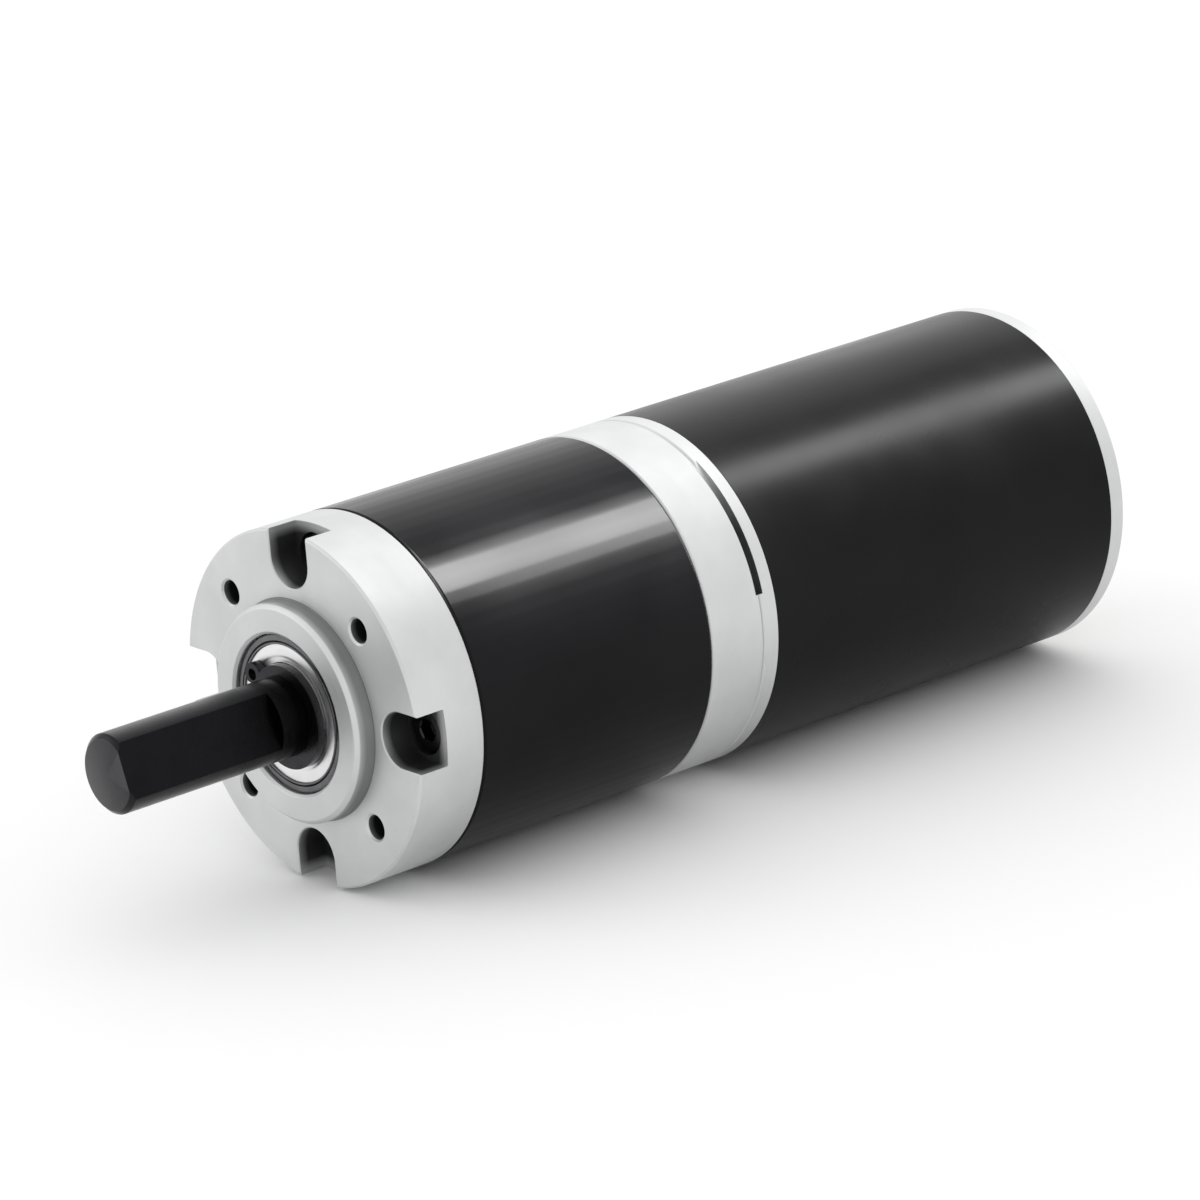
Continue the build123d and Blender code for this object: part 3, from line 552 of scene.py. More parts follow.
# Plain metals by finish: name, dark tone, pale tone, roughness, scale of the lines and, on some, bump
metals = {
    "black_oxide_steel": ("blackOxide", (0.022, 0.022, 0.024), (0.040, 0.040, 0.043), (0.26, 0.34), 6000,
                          0.04),
    "bearing_steel": ("bearingSteel", (0.60, 0.60, 0.61), (0.70, 0.70, 0.71), (0.16, 0.24), 3000, 0.03),
    "pressed_steel": ("pressedSteel", (0.50, 0.50, 0.51), (0.64, 0.64, 0.65), (0.25, 0.38), 3000),
    "bright_shield": ("brightShield", (0.74, 0.74, 0.74), (0.84, 0.84, 0.84), (0.3, 0.4), 3000, 0.05),
    # painted shade: bearing steel coloured dark for the outer ring, which sits in shade in the pilot's mouth
    "shade_painted_ring": ("shadePaintedRing", (0.10, 0.10, 0.105), (0.17, 0.17, 0.175), (0.25, 0.35), 5000),
    "sintered_steel": ("sinteredSteel", (0.18, 0.18, 0.185), (0.28, 0.28, 0.285), (0.45, 0.62), 2500, 0.4),
    "gear_steel": ("gearSteel", (0.36, 0.36, 0.37), (0.50, 0.50, 0.51), (0.22, 0.34), 5000),
    "lamination_steel": ("laminationSteel", (0.22, 0.22, 0.23), (0.38, 0.38, 0.39), (0.35, 0.5), 2000, 0.6),
    "copper_wire": ("copperWire", (0.46, 0.16, 0.06), (0.72, 0.30, 0.13), (0.25, 0.4), 3600, 0.9),
    "copper": ("copper", (0.60, 0.27, 0.14), (0.80, 0.40, 0.24), (0.2, 0.32), 5000),
    "brass": ("brass", (0.66, 0.50, 0.23), (0.74, 0.58, 0.29), (0.24, 0.32), 900, 0.02),
    "spring_steel": ("springSteel", (0.32, 0.32, 0.33), (0.44, 0.44, 0.45), (0.2, 0.3), 4200),
    "sintered_bronze": ("sinteredBronze", (0.36, 0.22, 0.10), (0.56, 0.38, 0.20), (0.4, 0.55), 3000, 0.4),
}
# Dull materials by finish: name, dark tone, pale tone, roughness and scale of the grain
dulls = {
    "ferrite": ("ferrite", (0.03, 0.03, 0.032), (0.06, 0.06, 0.062), (0.6, 0.8), 1800),
    "carbon": ("carbon", (0.02, 0.02, 0.021), (0.04, 0.04, 0.042), (0.5, 0.65), 2400),
    "brown_laminate": ("brownLaminate", (0.20, 0.10, 0.045), (0.32, 0.18, 0.085), (0.4, 0.55), 1500),
    "black_moulding": ("blackMoulding", (0.012, 0.012, 0.012), (0.024, 0.024, 0.024), (0.4, 0.55), 2000),
}
finishOf = {
    "shaft_black": makeShaftBlack("shaftBlack", shaftBlack),
    "satin_aluminium": makeSatinAluminium("satinAluminium", satinAluminium),
    "pale_aluminium": makeSatinAluminium("paleAluminium", paleAluminium),
    "gloss_black_steel": makeBlackCoat("glossBlack", glossBlack),
    "satin_black_steel": makeBlackCoat("satinBlack", satinBlack),
}
finishOf.update({slot: makeMetal(*look) for slot, look in metals.items()})
finishOf.update({slot: makeDull(*look) for slot, look in dulls.items()})
slotOf = {entry["node"]: entry["material_slot"] for entry in frame["record"]["subparts"]}
for node, shown in frame["nodes"].items():
    shown.data.materials.clear()
    shown.data.materials.append(finishOf[slotOf[node]])
print("finishes made,", len(finishOf))


# Output flange

flange = {
    "pilotRadius": 11.0,
    "pilotFront": -2.1,
    "pilotEdge": 0.4,
    "pilotRound": 0.12,
    "pocketRadius": 8.02,
    "mouthEdge": 0.3,
    "mouthRound": 0.05,
    "frontBearingBack": 3.4,
    "rearBearingFront": 5.4,
    "shoulderRadius": 6.4,
    "rimEdge": 0.2,
    "slotCircle": 15.1,
    "slotHalfWidth": 2.85,
    "slotDepth": 3.3,
    "slotEdge": 0.12,
    "slotReach": 8.0,
    "slotRoundSteps": 33,
    "screwCircle": 14.7,
    "screwPocketRadius": 2.37,
    "screwPocketBack": 6.1,
    "screwHoleRadius": 1.35,
    "holeCircle": 14.0,
    "holeRadius": 1.25,
    "holeDepth": 6.0,
    "holeEdge": 0.2,
    "slotAngles": (0, 90, 180, 270),
    "holeAngles": (45, 135, 225, 315),
}


def slotCutters(name, sizes):
    # U-shaped slots, open at the rim: a half circle, then straight sides out past the rim.
    # The outline is carried along Y and opened at the face by the edge size.
    turn = np.linspace(math.pi / 2, 3 * math.pi / 2, sizes["slotRoundSteps"])
    wide, edge, out = sizes["slotHalfWidth"], sizes["slotEdge"], sizes["slotReach"]
    grids = []
    for angle in np.radians(sizes["slotAngles"]):
        rows = []
        for grow, station in ((overcut + edge, -overcut), (0.0, edge), (0.0, sizes["slotDepth"])):
            reach = wide + grow
            u = np.concatenate([reach * np.cos(turn), [out, out]]) + sizes["slotCircle"]
            w = np.concatenate([reach * np.sin(turn), [-reach, reach]])
            x = u * math.cos(angle) - w * math.sin(angle)
            z = u * math.sin(angle) + w * math.cos(angle)
            rows.append(np.stack([x, np.full_like(x, station), z], -1))
        rows = [np.broadcast_to(rows[0].mean(0), rows[0].shape), *rows,
                np.broadcast_to(rows[-1].mean(0), rows[-1].shape)]
        grids.append(np.stack(rows, 1))
    return gridPiece(name, grids, closedRows=False)


def makeFlange(sizes):
    # pilot boss, rim, spigot and bearing pockets turned in one, then the slots and holes
    outline = softCorners([
        (sizes["pocketRadius"] + sizes["mouthEdge"], sizes["pilotFront"], sizes["mouthRound"]),
        (sizes["pilotRadius"] - sizes["pilotEdge"], sizes["pilotFront"], sizes["pilotRound"]),
        (sizes["pilotRadius"], sizes["pilotFront"] + sizes["pilotEdge"], sizes["pilotRound"]),
        (sizes["pilotRadius"], 0.0, rimRound),
        *rim(0.0, body["flangeBack"], sizes["rimEdge"]),
        (body["spigotRadius"], body["flangeBack"], 0.0),
        (body["spigotRadius"], body["spigotBack"], spigotRound),
        (sizes["pocketRadius"], body["spigotBack"], spigotRound),
        (sizes["pocketRadius"], sizes["rearBearingFront"], 0.0),
        (sizes["shoulderRadius"], sizes["rearBearingFront"], rimRound),
        (sizes["shoulderRadius"], sizes["frontBearingBack"], rimRound),
        (sizes["pocketRadius"], sizes["frontBearingBack"], 0.0),
        (sizes["pocketRadius"], sizes["pilotFront"] + sizes["mouthEdge"], sizes["mouthRound"]),
    ])
    piece = gridPiece("front_flange_turned", [spun(outline)])
    cutAway(
        piece,
        slotCutters("slots", sizes),
        bores("screwPockets", sizes["screwCircle"], sizes["slotAngles"], sizes["screwPocketRadius"],
              sizes["slotDepth"] - overcut, sizes["screwPocketBack"]),
        bores("screwHoles", sizes["screwCircle"], sizes["slotAngles"], sizes["screwHoleRadius"],
              sizes["screwPocketBack"] - overcut, body["flangeBack"] + overcut),
        bores("mountingHoles", sizes["holeCircle"], sizes["holeAngles"], sizes["holeRadius"],
              0.0, sizes["holeDepth"], sizes["holeEdge"]),
    )
    standIn(piece, "housing", "satin_aluminium", "front_flange")


makeFlange(flange)
print("flange made")


# Ring gear

ringGear = {
    "module": 0.6,
    "teeth": 40,
    "pressure": math.radians(20),
    "toothTipRadius": 11.64,
    "toothRootRadius": 12.72,
    "backlash": 0.06,
    "flankSteps": 3,
    "toothFront": 11.0,
    "toothBack": 34.4,
    "edge": 0.2,
}


def toothColumns(sizes):
    # Angle and bore radius of each column. At a radius r, half the gap between two teeth of N is the angle
    # pi/2N + backlash/2R + (tan a - a) - (tan b - b), with a the pressure angle, R the pitch radius and
    # cos b the base radius over r.
    pitch = sizes["module"] * sizes["teeth"] / 2
    base = pitch * math.cos(sizes["pressure"])
    radii = np.linspace(sizes["toothTipRadius"], sizes["toothRootRadius"], sizes["flankSteps"])
    b = np.arccos(base / radii)
    half = (math.pi / (2 * sizes["teeth"]) + sizes["backlash"] / (2 * pitch)
            + math.tan(sizes["pressure"]) - sizes["pressure"] - (np.tan(b) - b))
    oneAngle = np.concatenate([-half, half[::-1]])
    oneRadius = np.concatenate([radii, radii[::-1]])
    turns = np.arange(sizes["teeth"]) * 2 * math.pi / sizes["teeth"]
    return (turns[:, None] + oneAngle).ravel(), np.tile(oneRadius, sizes["teeth"])


def makeRingGear(sizes):
    # the body's outline turned, with the bore's radius taken from the teeth at each angle
    angles, boreRadius = toothColumns(sizes)
    toothed = -1.0          # a radius below zero marks the rows that follow the teeth
    outer = softCorners([
        *rim(body["flangeBack"], body["ringBack"], sizes["edge"]),
        (body["registerRadius"], body["ringBack"], 0.0),
        (body["registerRadius"], sizes["toothBack"], 0.0),
        (toothed, sizes["toothBack"], 0.0),
        (toothed, sizes["toothFront"], 0.0),
        (body["registerRadius"], sizes["toothFront"], 0.0),
        (body["registerRadius"], body["flangeBack"], 0.0),
    ])
    radius = np.where(outer[:, 0] < 0, boreRadius[:, None], outer[:, 0])
    piece = gridPiece("ring_gear_turned", [turnedGrid(radius, outer[:, 1], angles)])
    cutAway(piece, bores("screwHoles", flange["screwCircle"], flange["slotAngles"],
                         flange["screwHoleRadius"], body["flangeBack"] - overcut,
                         body["ringBack"] + overcut))
    standIn(piece, "housing", "gloss_black_steel", "ring_gear")


makeRingGear(ringGear)
print("ring gear made")


# Adapter plate and motor front cap

adapter = {
    "spigotFront": 35.0,
    "edge": 0.2,
    "boreRadius": 5.6,
    "bossRecessRadius": 6.52,
    "bossRecessFront": 41.48,
    "screwCircle": 9.4,
    "screwAngles": (45, 225),
    "headPocketRadius": 2.8,
    "headPocketBack": 38.6,
    "screwHoleRadius": 1.6,
    "tappedRadius": 1.27,
    "reliefFront": 43.35,
    "reliefInnerRadius": 16.8,
    "reliefStart": 11.0,
    "reliefEnd": 60.0,
    "reliefFade": 32.0,
    "reliefRunOut": 0.01,
    "reliefSteps": 60,
}


def reliefCutter(sizes, front, back):
    # A rectangle (radius, station) carried along part of a turn and closed at both ends. Its inner radius
    # is r + d t^2 at an angle a, with t = (a - fade) / (end - fade): the cut runs out.
    angles = np.linspace(sizes["reliefStart"], sizes["reliefEnd"], sizes["reliefSteps"])
    run = np.clip((angles - sizes["reliefFade"]) / (sizes["reliefEnd"] - sizes["reliefFade"]), 0, 1)
    depth = body["radius"] + sizes["reliefRunOut"] - sizes["reliefInnerRadius"]
    inner = sizes["reliefInnerRadius"] + depth * run ** 2
    outer = np.full_like(inner, body["radius"] + overcut)
    radius = np.stack([inner, outer, outer, inner], 1)
    grid = turnedGrid(radius, np.array([front, front, back, back]), np.radians(angles))
    middle = grid.mean(1, keepdims=True)
    grid = np.concatenate([np.broadcast_to(middle[:1], grid[:1].shape), grid,
                           np.broadcast_to(middle[-1:], grid[-1:].shape)])
    return gridPiece("relief", [np.swapaxes(grid, 0, 1)], closedRows=False)


def makeAdapter(sizes):
    # a turned ring with a spigot at the front and a recess at the back, then drilled
    outline = softCorners([
        *rim(body["ringBack"], body["adapterBack"], sizes["edge"]),
        (sizes["bossRecessRadius"], body["adapterBack"], 0.0),
        (sizes["bossRecessRadius"], sizes["bossRecessFront"], 0.0),
        (sizes["boreRadius"], sizes["bossRecessFront"], 0.0),
        (sizes["boreRadius"], sizes["spigotFront"], 0.0),
        (body["spigotRadius"], sizes["spigotFront"], spigotRound),
        (body["spigotRadius"], body["ringBack"], 0.0),
    ])
    piece = gridPiece("adapter_plate_turned", [spun(outline)])
    cutAway(
        piece,
        reliefCutter(sizes, sizes["reliefFront"], body["adapterBack"] + overcut),
        bores("headPockets", sizes["screwCircle"], sizes["screwAngles"], sizes["headPocketRadius"],
              sizes["spigotFront"] - overcut, sizes["headPocketBack"]),
        bores("screwHoles", sizes["screwCircle"], sizes["screwAngles"], sizes["screwHoleRadius"],
              sizes["headPocketBack"] - overcut, body["adapterBack"] + overcut),
        bores("tappedHoles", flange["screwCircle"], flange["slotAngles"], sizes["tappedRadius"],
              body["ringBack"] - overcut, body["adapterBack"] + overcut),
    )
    standIn(piece, "housing", "satin_aluminium", "adapter_plate")


frontCap = {
    "edge": 0.2,
    "bossRadius": 6.5,
    "bossFront": 41.5,
    "bushFront": 42.5,
    "floorBack": 46.8,
    "spigotBack": 48.7,
    "screwRadius": 1.52,
    "tieBoltCircle": 15.0,
    "tieBoltAngles": (0, 180),
    "tieBoltRadius": 1.27,
    "tieBoltFront": 45.2,
    "reliefBack": 44.25,
}


def makeFrontCap(sizes):
    # a turned cap with a boss for the bush and a spigot for the can, then drilled
    edge = sizes["edge"]
    outline = softCorners([
        (body["bushEndRadius"], sizes["bossFront"], 0.0),
        (sizes["bossRadius"], sizes["bossFront"], spigotRound),
        (sizes["bossRadius"], body["adapterBack"], 0.0),
        (body["radius"] - edge, body["adapterBack"], rimRound),
        (body["radius"], body["adapterBack"] + edge, rimRound),
        (body["radius"], body["canFront"], canRound),
        (body["capSpigotOuter"], body["canFront"], 0.0),
        (body["capSpigotOuter"], sizes["spigotBack"], spigotRound),
        (body["capSpigotInner"], sizes["spigotBack"], spigotRound),
        (body["capSpigotInner"], sizes["floorBack"], 0.0),
        (body["bushPocketRadius"], sizes["floorBack"], 0.0),
        (body["bushPocketRadius"], sizes["bushFront"], 0.0),
        (body["bushEndRadius"], sizes["bushFront"], 0.0),
    ])
    piece = gridPiece("motor_front_cap_turned", [spun(outline)])
    cutAway(
        piece,
        bores("tappedHoles", adapter["screwCircle"], adapter["screwAngles"], sizes["screwRadius"],
              body["adapterBack"] - overcut, sizes["floorBack"] + overcut),
        bores("boltHoles", sizes["tieBoltCircle"], sizes["tieBoltAngles"], sizes["tieBoltRadius"],
              sizes["tieBoltFront"], sizes["spigotBack"] + overcut),
        reliefCutter(adapter, body["adapterBack"] - overcut, sizes["reliefBack"]),
    )
    standIn(piece, "housing", "satin_aluminium", "motor_front_cap", finish="pale_aluminium")


makeAdapter(adapter)
makeFrontCap(frontCap)
print("adapter and front cap made")


# Motor can

def makeCan():
    # a plain tube
    outline = softCorners([
        (body["radius"], body["canFront"], canRound),
        (body["radius"], body["canBack"], canRound),
        (body["canInnerRadius"], body["canBack"], canRound),
        (body["canInnerRadius"], body["canFront"], canRound),
    ])
    piece = gridPiece("motor_can_turned", [spun(outline)])
    standIn(piece, "housing", "satin_black_steel", "motor_can")


makeCan()

# Rear cap

rearCap = {
    "edge": 0.5,
    "edgeRound": 0.2,
    "bossFootRound": 0.15,
    "bossRadius": 5.5,
    "bossBack": 96.5,
    "bushBack": 95.6,
    "floorFront": 91.5,
    "spigotFront": 89.3,
    "boltCircle": 15.0,
    "boltAngles": (0, 180),
    "boltHoleRadius": 1.35,
    "boltPocketRadius": 2.4,
    "boltPocketFront": 92.8,
    "terminalCircle": 11.0,
    "slotHalfLength": 2.2,
    "slotHalfHeight": 1.05,
}


def terminalSlots(name, sizes):
    # two small rectangles in X and Z, carried through the cap along Y
    wide, tall = sizes["slotHalfLength"], sizes["slotHalfHeight"]
    corners = np.array([(wide, tall), (-wide, tall), (-wide, -tall), (wide, -tall)])
    grids = []
    for side in (1, -1):
        rows = []
        for station in (sizes["floorFront"] - overcut, sizes["bossBack"]):
            rows.append(np.stack([corners[:, 0], np.full(4, station),
                                  corners[:, 1] + side * sizes["terminalCircle"]], -1))
        ends = [np.broadcast_to(row.mean(0), row.shape) for row in rows]
        grids.append(np.stack([ends[0], *rows, ends[1]], 1))
    return gridPiece(name, grids, closedRows=False)


def makeRearCap(sizes):
    # a turned cap with a spigot and a boss, then the bolt seats and terminal slots
    outline = softCorners([
        (body["bushPocketRadius"], sizes["floorFront"], 0.0),
        (body["capSpigotInner"], sizes["floorFront"], 0.0),
        (body["capSpigotInner"], sizes["spigotFront"], spigotRound),
        (body["capSpigotOuter"], sizes["spigotFront"], spigotRound),
        (body["capSpigotOuter"], body["canBack"], 0.0),
        (body["radius"], body["canBack"], canRound),
        (body["radius"], body["capBack"] - sizes["edge"], sizes["edgeRound"]),
        (body["radius"] - sizes["edge"], body["capBack"], sizes["edgeRound"]),
        (sizes["bossRadius"], body["capBack"], sizes["bossFootRound"]),
        (sizes["bossRadius"], sizes["bossBack"], sizes["edgeRound"]),
        (body["bushEndRadius"], sizes["bossBack"], spigotRound),
        (body["bushEndRadius"], sizes["bushBack"], 0.0),
        (body["bushPocketRadius"], sizes["bushBack"], 0.0),
    ])
    piece = gridPiece("rear_cap_turned", [spun(outline)])
    cutAway(
        piece,
        bores("boltHoles", sizes["boltCircle"], sizes["boltAngles"], sizes["boltHoleRadius"],
              sizes["spigotFront"] - overcut, body["capBack"] + overcut),
        bores("boltPockets", sizes["boltCircle"], sizes["boltAngles"], sizes["boltPocketRadius"],
              sizes["boltPocketFront"], body["capBack"] + overcut),
        terminalSlots("terminalSlots", sizes),
    )
    standIn(piece, "housing", "satin_aluminium", "rear_cap", finish="pale_aluminium")


makeRearCap(rearCap)
print("can and rear cap made")


# Output shaft

shaft = {
    "radius": 4.0,
    "tip": -23.4,
    "tipEdge": 0.5,
    "tipRows": ((-0.06, 0.0), (0.03, 0.04)),
    "edgeRows": ((-0.05, -0.05), (0.0, 0.06)),
    "flatBack": -5.4,
    "flatDistance": 2.9,
    "flatAngle": shaftFlatAngle,
    "grooveRadius": 3.8,
    "grooveFront": -2.45,
    "grooveBack": -1.55,
    "seatFront": 10.4,
    "seatRadius": 3.6,
    "seatHalfAcross": 2.9,
    "shaftBack": 19.8,
    "edgeSoftness": 160,
    "steps": 288,
    "leastCosine": 0.05,
}


def makeShaft(sizes):
    # Radius of a row at angle u: the soft minimum of the round and the flat, d / cos(u - a),
    # which is (round^-p + flat^-p)^(-1/p). The seat is the round cut by two flats, h / |sin u|.
    # The tip's edge is a cone whose two ends are each rounded by two rows, (growth, shift along Y).
    angles = np.linspace(0, 2 * math.pi, sizes["steps"], endpoint=False)
    p, least = sizes["edgeSoftness"], sizes["leastCosine"]
    flat = sizes["flatDistance"] / np.maximum(np.cos(angles - sizes["flatAngle"]), least)
    seat = np.minimum(sizes["seatRadius"], sizes["seatHalfAcross"] / np.maximum(abs(np.sin(angles)), least))

    def cutRow(radius):
        return (float(radius) ** -p + flat ** -p) ** (-1 / p)

    def fullRow(radius):
        return np.full_like(angles, radius)

    full, tip, edge = sizes["radius"], sizes["tip"], sizes["tipEdge"]
    rows = [
        (fullRow(0), tip),
        *[(cutRow(full - edge + growth), tip + shift) for growth, shift in sizes["tipRows"]],
        *[(cutRow(full + growth), tip + edge + shift) for growth, shift in sizes["edgeRows"]],
        (cutRow(full), sizes["flatBack"]),
        (fullRow(full), sizes["flatBack"]),
        (fullRow(full), sizes["grooveFront"]),
        (fullRow(sizes["grooveRadius"]), sizes["grooveFront"]),
        (fullRow(sizes["grooveRadius"]), sizes["grooveBack"]),
        (fullRow(full), sizes["grooveBack"]),
        (fullRow(full), sizes["seatFront"]),
        (seat, sizes["seatFront"]),
        (seat, sizes["shaftBack"]),
        (fullRow(0), sizes["shaftBack"]),
    ]
    radius = np.stack([row for row, _ in rows], 1)
    station = np.array([place for _, place in rows])
    piece = gridPiece("output_shaft_turned", [turnedGrid(radius, station, angles)], closedRows=False)
    standIn(piece, "output", "black_oxide_steel", "output_shaft", finish="shaft_black")


makeShaft(shaft)
print("shaft made")


# Front bearing: the ring's face has a rounded shoulder and a shield groove, the shield a pressed step

frontBearing = {
    "front": -1.6,
    "back": 3.4,
    "outer": 8.0,
    "bore": 6.95,
    "shoulder": 0.35,
    "backRound": 0.2,
    "faceRound": 0.03,
    "groove": 7.22,
    "grooveDepth": 0.22,
    "grooveHalfWidth": 0.1,
    "shieldFront": -1.45,
    "shieldBack": -1.2,
    "shieldOuter": 6.93,
    "shieldInner": 5.1,
    "shieldStep": 0.07,
    "stepStart": 0.5,
    "stepEnd": 0.75,
    "stepRound": 0.1,
    "lipRound": 0.05,
    "plateRound": 0.02,
}


def makeFrontBearing(sizes):
    # both are closed outlines of (radius, station) with rounded corners, turned about the shaft's axis
    front, back, groove, half = sizes["front"], sizes["back"], sizes["groove"], sizes["grooveHalfWidth"]
    ringFace = softCorners([
        (sizes["outer"], front, sizes["shoulder"]),
        (sizes["outer"], back, sizes["backRound"]),
        (sizes["bore"], back, spigotRound),
        (sizes["bore"], front, sizes["faceRound"]),
        (groove - half, front, sizes["faceRound"]),
        (groove, front + sizes["grooveDepth"], 0.0),
        (groove + half, front, sizes["faceRound"]),
    ])
    ringPiece = gridPiece("front_bearing_outer_turned", [spun(ringFace)])
    # the outer ring's face is shown with the dark painted shade tone, not bearing steel
    standIn(ringPiece, "housing", "bearing_steel", "front_bearing_outer", finish="shade_painted_ring")
    face, inside = sizes["shieldFront"], sizes["shieldInner"]
    plate = softCorners([
        (sizes["shieldOuter"], face, canRound),
        (sizes["shieldOuter"], sizes["shieldBack"], sizes["plateRound"]),
        (inside, sizes["shieldBack"], sizes["plateRound"]),
        (inside, face + sizes["shieldStep"], sizes["lipRound"]),
        (inside + sizes["stepStart"], face + sizes["shieldStep"], sizes["stepRound"]),
        (inside + sizes["stepEnd"], face, sizes["stepRound"]),
    ])
    shield = gridPiece("front_bearing_shield_pressed", [spun(plate)])
    standIn(shield, "housing", "pressed_steel", "front_bearing_shield", finish="bright_shield")


makeFrontBearing(frontBearing)
print("bearing made")


# Screws

bodyScrews = {"seat": 6.1, "facing": 1, "circle": 14.7, "angles": (0, 90, 180, 270), "thread": 1.25,
              "length": 35.0, "head": 2.25, "height": 2.5, "key": 2.0, "keyDepth": 1.2}
tieBolts = {"seat": 92.8, "facing": -1, "circle": 15.0, "angles": (0, 180), "thread": 1.25,
            "length": 47.1, "head": 2.25, "height": 1.6, "key": 2.0, "keyDepth": 0.9}
# what the two kinds share; the crown is the head's rounded edge in steps of (inset, drop)
screwForm = {
    "steps": 96,
    "socketPoint": 0.3,
    "socketNarrow": 0.96,
    "mouthDepth": 0.12,
    "mouthFlare": 0.04,
    "crown": ((0.28, 0.0), (0.1, 0.07), (0.03, 0.25)),
    "knurls": 24,
    "knurlDepth": 0.05,
    "knurlTop": 0.4,
    "knurlFoot": 0.25,
    "footInset": 0.1,
    "pointLength": 0.3,
    "pointInset": 0.25,
}


def makeScrews(name, node, sizes, form):
    # Rows from the socket's floor out over the head and along the shank. The socket's radius at angle u
    # is (key / 2) / cos(u mod 60 degrees - 30 degrees), and the head's side has n knurls of |sin nu|.
    angles = np.linspace(0, 2 * math.pi, form["steps"], endpoint=False)
    sixth = math.pi / 3
    hexagon = sizes["key"] / 2 / np.cos(angles % sixth - sixth / 2)
    head, height, thread = sizes["head"], sizes["height"], sizes["thread"]
    knurled = head - form["knurlDepth"] * abs(np.sin(form["knurls"] * angles))

    def ring(radius):
        return np.full_like(angles, radius)

    rows = [
        (ring(0), height - sizes["keyDepth"] - form["socketPoint"]),
        (hexagon * form["socketNarrow"], height - sizes["keyDepth"]),
        (hexagon, height - form["mouthDepth"]),
        (ring(hexagon.max() + form["mouthFlare"]), height),
        *[(ring(head - inset), height - drop) for inset, drop in form["crown"]],
        (knurled, height - form["knurlTop"]),
        (knurled, form["knurlFoot"]),
        (ring(head - form["footInset"]), 0.0),
        (ring(thread), 0.0),
        (ring(thread), form["pointLength"] - sizes["length"]),
        (ring(thread - form["pointInset"]), -sizes["length"]),
        (ring(0), -sizes["length"]),
    ]
    radius = np.stack([row for row, _ in rows], 1)
    station = sizes["seat"] - sizes["facing"] * np.array([place for _, place in rows])
    centres = onCircle(sizes["circle"], sizes["angles"])
    grids = [turnedGrid(radius, station, angles, centre) for centre in centres]
    piece = gridPiece(name, grids, closedRows=False)
    standIn(piece, "housing", "black_oxide_steel", node)


makeScrews("body_screws_turned", "body_screws", bodyScrews, screwForm)
makeScrews("tie_bolts_turned", "tie_bolts", tieBolts, screwForm)

# small CAD nodes that show, shaded round
smallNodes = ("shaft_circlip", "front_bearing_inner", "motor_rear_bush", "motor_shaft", "terminals",
              "terminal_insulators")
for node in smallNodes:
    smoothCopy(node)
print("screws and small parts made")


# Floor, light and camera

stageSet = {
    "floorSize": 8.0,
    "floorColour": (0.93, 0.93, 0.93, 1.0),
    "floorFibres": (60, 3.0, 0.6),
    "floorRoughness": (0.85, 0.95),
    "floorLight": 1.75,
    "floorLightAngle": 150,
    "ambient": 0.5,
    "white": (1.0, 1.0, 1.0, 1.0),
}


def lightOnly(holder, *lit):
    # a lamp that lights these pieces and no others
    group = bpy.data.collections.new(holder.name + "Lights")
    for piece in lit:
        group.objects.link(piece)
    holder.light_linking.receiver_collection = group


def makeFloor(sizes):
    # pale paper, with a wide soft light of its own that whitens it and leaves the shadow
    low = -body["radius"] * mm
    half = sizes["floorSize"] / 2
    mesh = bpy.data.meshes.new("floor")
    mesh.from_pydata([(-half, -half, low), (half, -half, low), (half, half, low), (-half, half, low)],
                     [], [(0, 1, 2, 3)])
    floor = newObject("floor", mesh)
    paper = NodeWork("floorPaper")
    fibres = paper.noise(paper.place, *sizes["floorFibres"])
    paper.put(colour=sizes["floorColour"], roughness=paper.spread(fibres, *sizes["floorRoughness"]),
              specular=0.0)
    mesh.materials.append(paper.material)
    above = bpy.data.lights.new("floorLight", "SUN")
    above.energy = sizes["floorLight"]
    above.angle = math.radians(sizes["floorLightAngle"])
    lightOnly(newObject("floorLight", above), floor)


def makeWorld(sizes):
    # white where the camera, a gloss or a glass sees it, and a plain even level as light
    world = bpy.data.worlds.new("studio")
    bpy.context.scene.world = world
    world.use_nodes = True
    nodes, links = world.node_tree.nodes, world.node_tree.links
    path = nodes.new("ShaderNodeLightPath")
    seen = path.outputs["Is Camera Ray"]
    for name in ("Is Glossy Ray", "Is Transmission Ray"):
        larger = nodes.new("ShaderNodeMath")
        larger.operation = "MAXIMUM"
        links.new(seen, larger.inputs[0])
        links.new(path.outputs[name], larger.inputs[1])
        seen = larger.outputs[0]
    level = nodes.new("ShaderNodeMapRange")
    level.inputs["To Min"].default_value = sizes["ambient"]
    level.inputs["To Max"].default_value = 1.0
    links.new(seen, level.inputs["Value"])
    links.new(level.outputs["Result"], nodes["Background"].inputs["Strength"])
    nodes["Background"].inputs["Color"].default_value = sizes["white"]


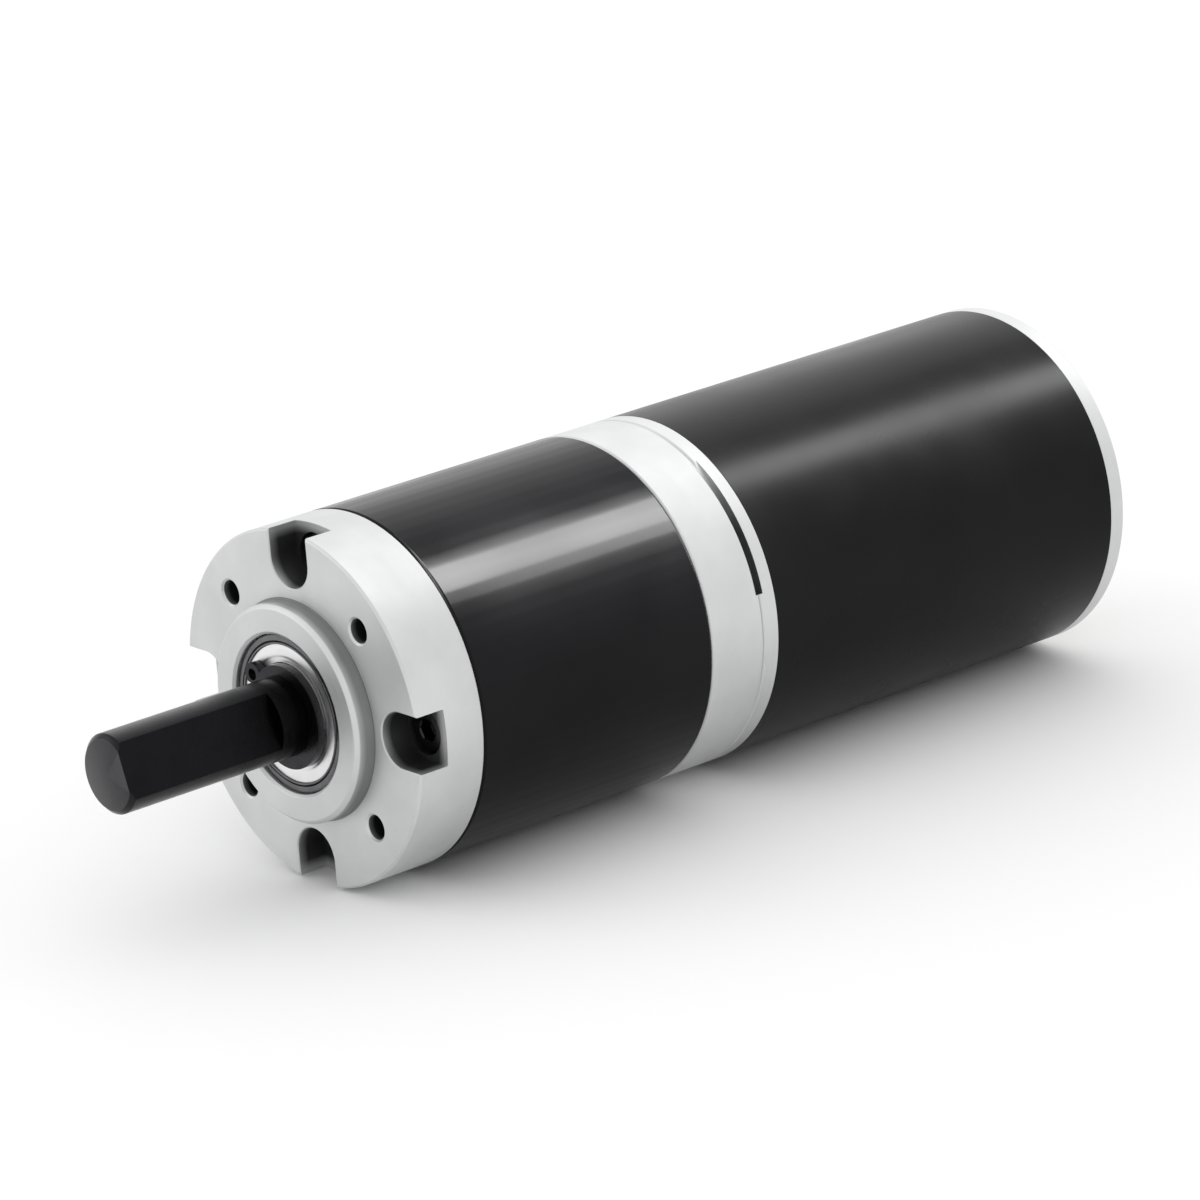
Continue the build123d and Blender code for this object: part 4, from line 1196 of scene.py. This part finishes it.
# Each lamp: place, aim, width and length in metres, strength (its power is this times pi and its area),
# and the pieces it lights where it isn't all of them
blackParts = ("ring_gear_turned", "motor_can_turned")
aluminiumParts = ("front_flange_turned", "adapter_plate_turned", "motor_front_cap_turned", "rear_cap_turned")
lamps = {
    "gearStreak": {"at": (0.165, 0.39, 0.475), "aim": (0.012, 0.022, 0.012), "size": (0.165, 0.9),
                   "strength": 40.0, "only": ("ring_gear_turned",)},
    "canSheen": {"at": (0.115, 0.44, 0.50), "aim": (0.012, 0.068, 0.012), "size": (0.13, 0.9),
                 "strength": 15.0, "only": ("motor_can_turned",)},
    "topSheen": {"at": (0.03, 0.04, 0.75), "aim": (0.0, 0.04, 0.0), "size": (0.28, 0.5),
                 "strength": 7.0, "only": blackParts},
    "rearStreak": {"at": (0.07, -0.40, 0.52), "aim": (0.0, 0.05, 0.0), "size": (0.16, 0.9),
                   "strength": 18.0, "only": blackParts},
    "overhead": {"at": (0.03, 0.45, 0.55), "aim": (0.0, 0.03, 0.0), "size": (0.45, 0.9),
                 "strength": 1.0, "only": aluminiumParts},
    "backLeft": {"at": (-0.5, 0.55, 0.42), "aim": (0.0, 0.04, 0.0), "size": (0.5, 0.6), "strength": 0.5},
    "leftFill": {"at": (-0.7, -0.6, 0.5), "aim": (0.0, 0.0, 0.0), "size": (0.6, 0.6), "strength": 1.0},
}


def facing(at, aim):
    # stands at one point and looks at another
    turn = (Vector(aim) - Vector(at)).to_track_quat("-Z", "Y")
    return Matrix.Translation(at) @ turn.to_matrix().to_4x4()


def makeLamps(wanted):
    # area lamps of even strength
    for name, lamp in wanted.items():
        light = bpy.data.lights.new(name, "AREA")
        light.shape = "RECTANGLE"
        light.size, light.size_y = lamp["size"]
        light.energy = lamp["strength"] * math.pi * light.size * light.size_y
        holder = newObject(name, light)
        holder.matrix_world = facing(lamp["at"], lamp["aim"])
        if "only" in lamp:
            lightOnly(holder, *[pieces[part] for part in lamp["only"]])


# the camera as fitted to the photograph, in metres
cameraFit = {
    "at": (0.451102, -0.332297, 0.188768),
    "right": (0.65105618, 0.75539619, -0.07417848),
    "up": (-0.18661664, 0.25403212, 0.94902155),
    "forward": (-0.73573098, 0.60402341, -0.30635868),
    "lens": 183.93,
    "sensor": 36.0,
    "nearest": 0.01,
    "farthest": 50.0,
}


def makeCamera(fit):
    # right, up and back are the columns of its turn
    view = bpy.data.cameras.new("camera")
    view.lens = fit["lens"]
    view.sensor_width = fit["sensor"]
    view.clip_start = fit["nearest"]
    view.clip_end = fit["farthest"]
    holder = newObject("camera", view)
    back = [-value for value in fit["forward"]]
    columns = np.array([fit["right"], fit["up"], back]).T
    placed = Matrix(columns.tolist()).to_4x4()
    placed.translation = fit["at"]
    holder.matrix_world = placed
    bpy.context.scene.camera = holder


makeFloor(stageSet)
makeWorld(stageSet)
makeLamps(lamps)
makeCamera(cameraFit)
bpy.context.scene.view_settings.view_transform = "Standard"
print("stage set")
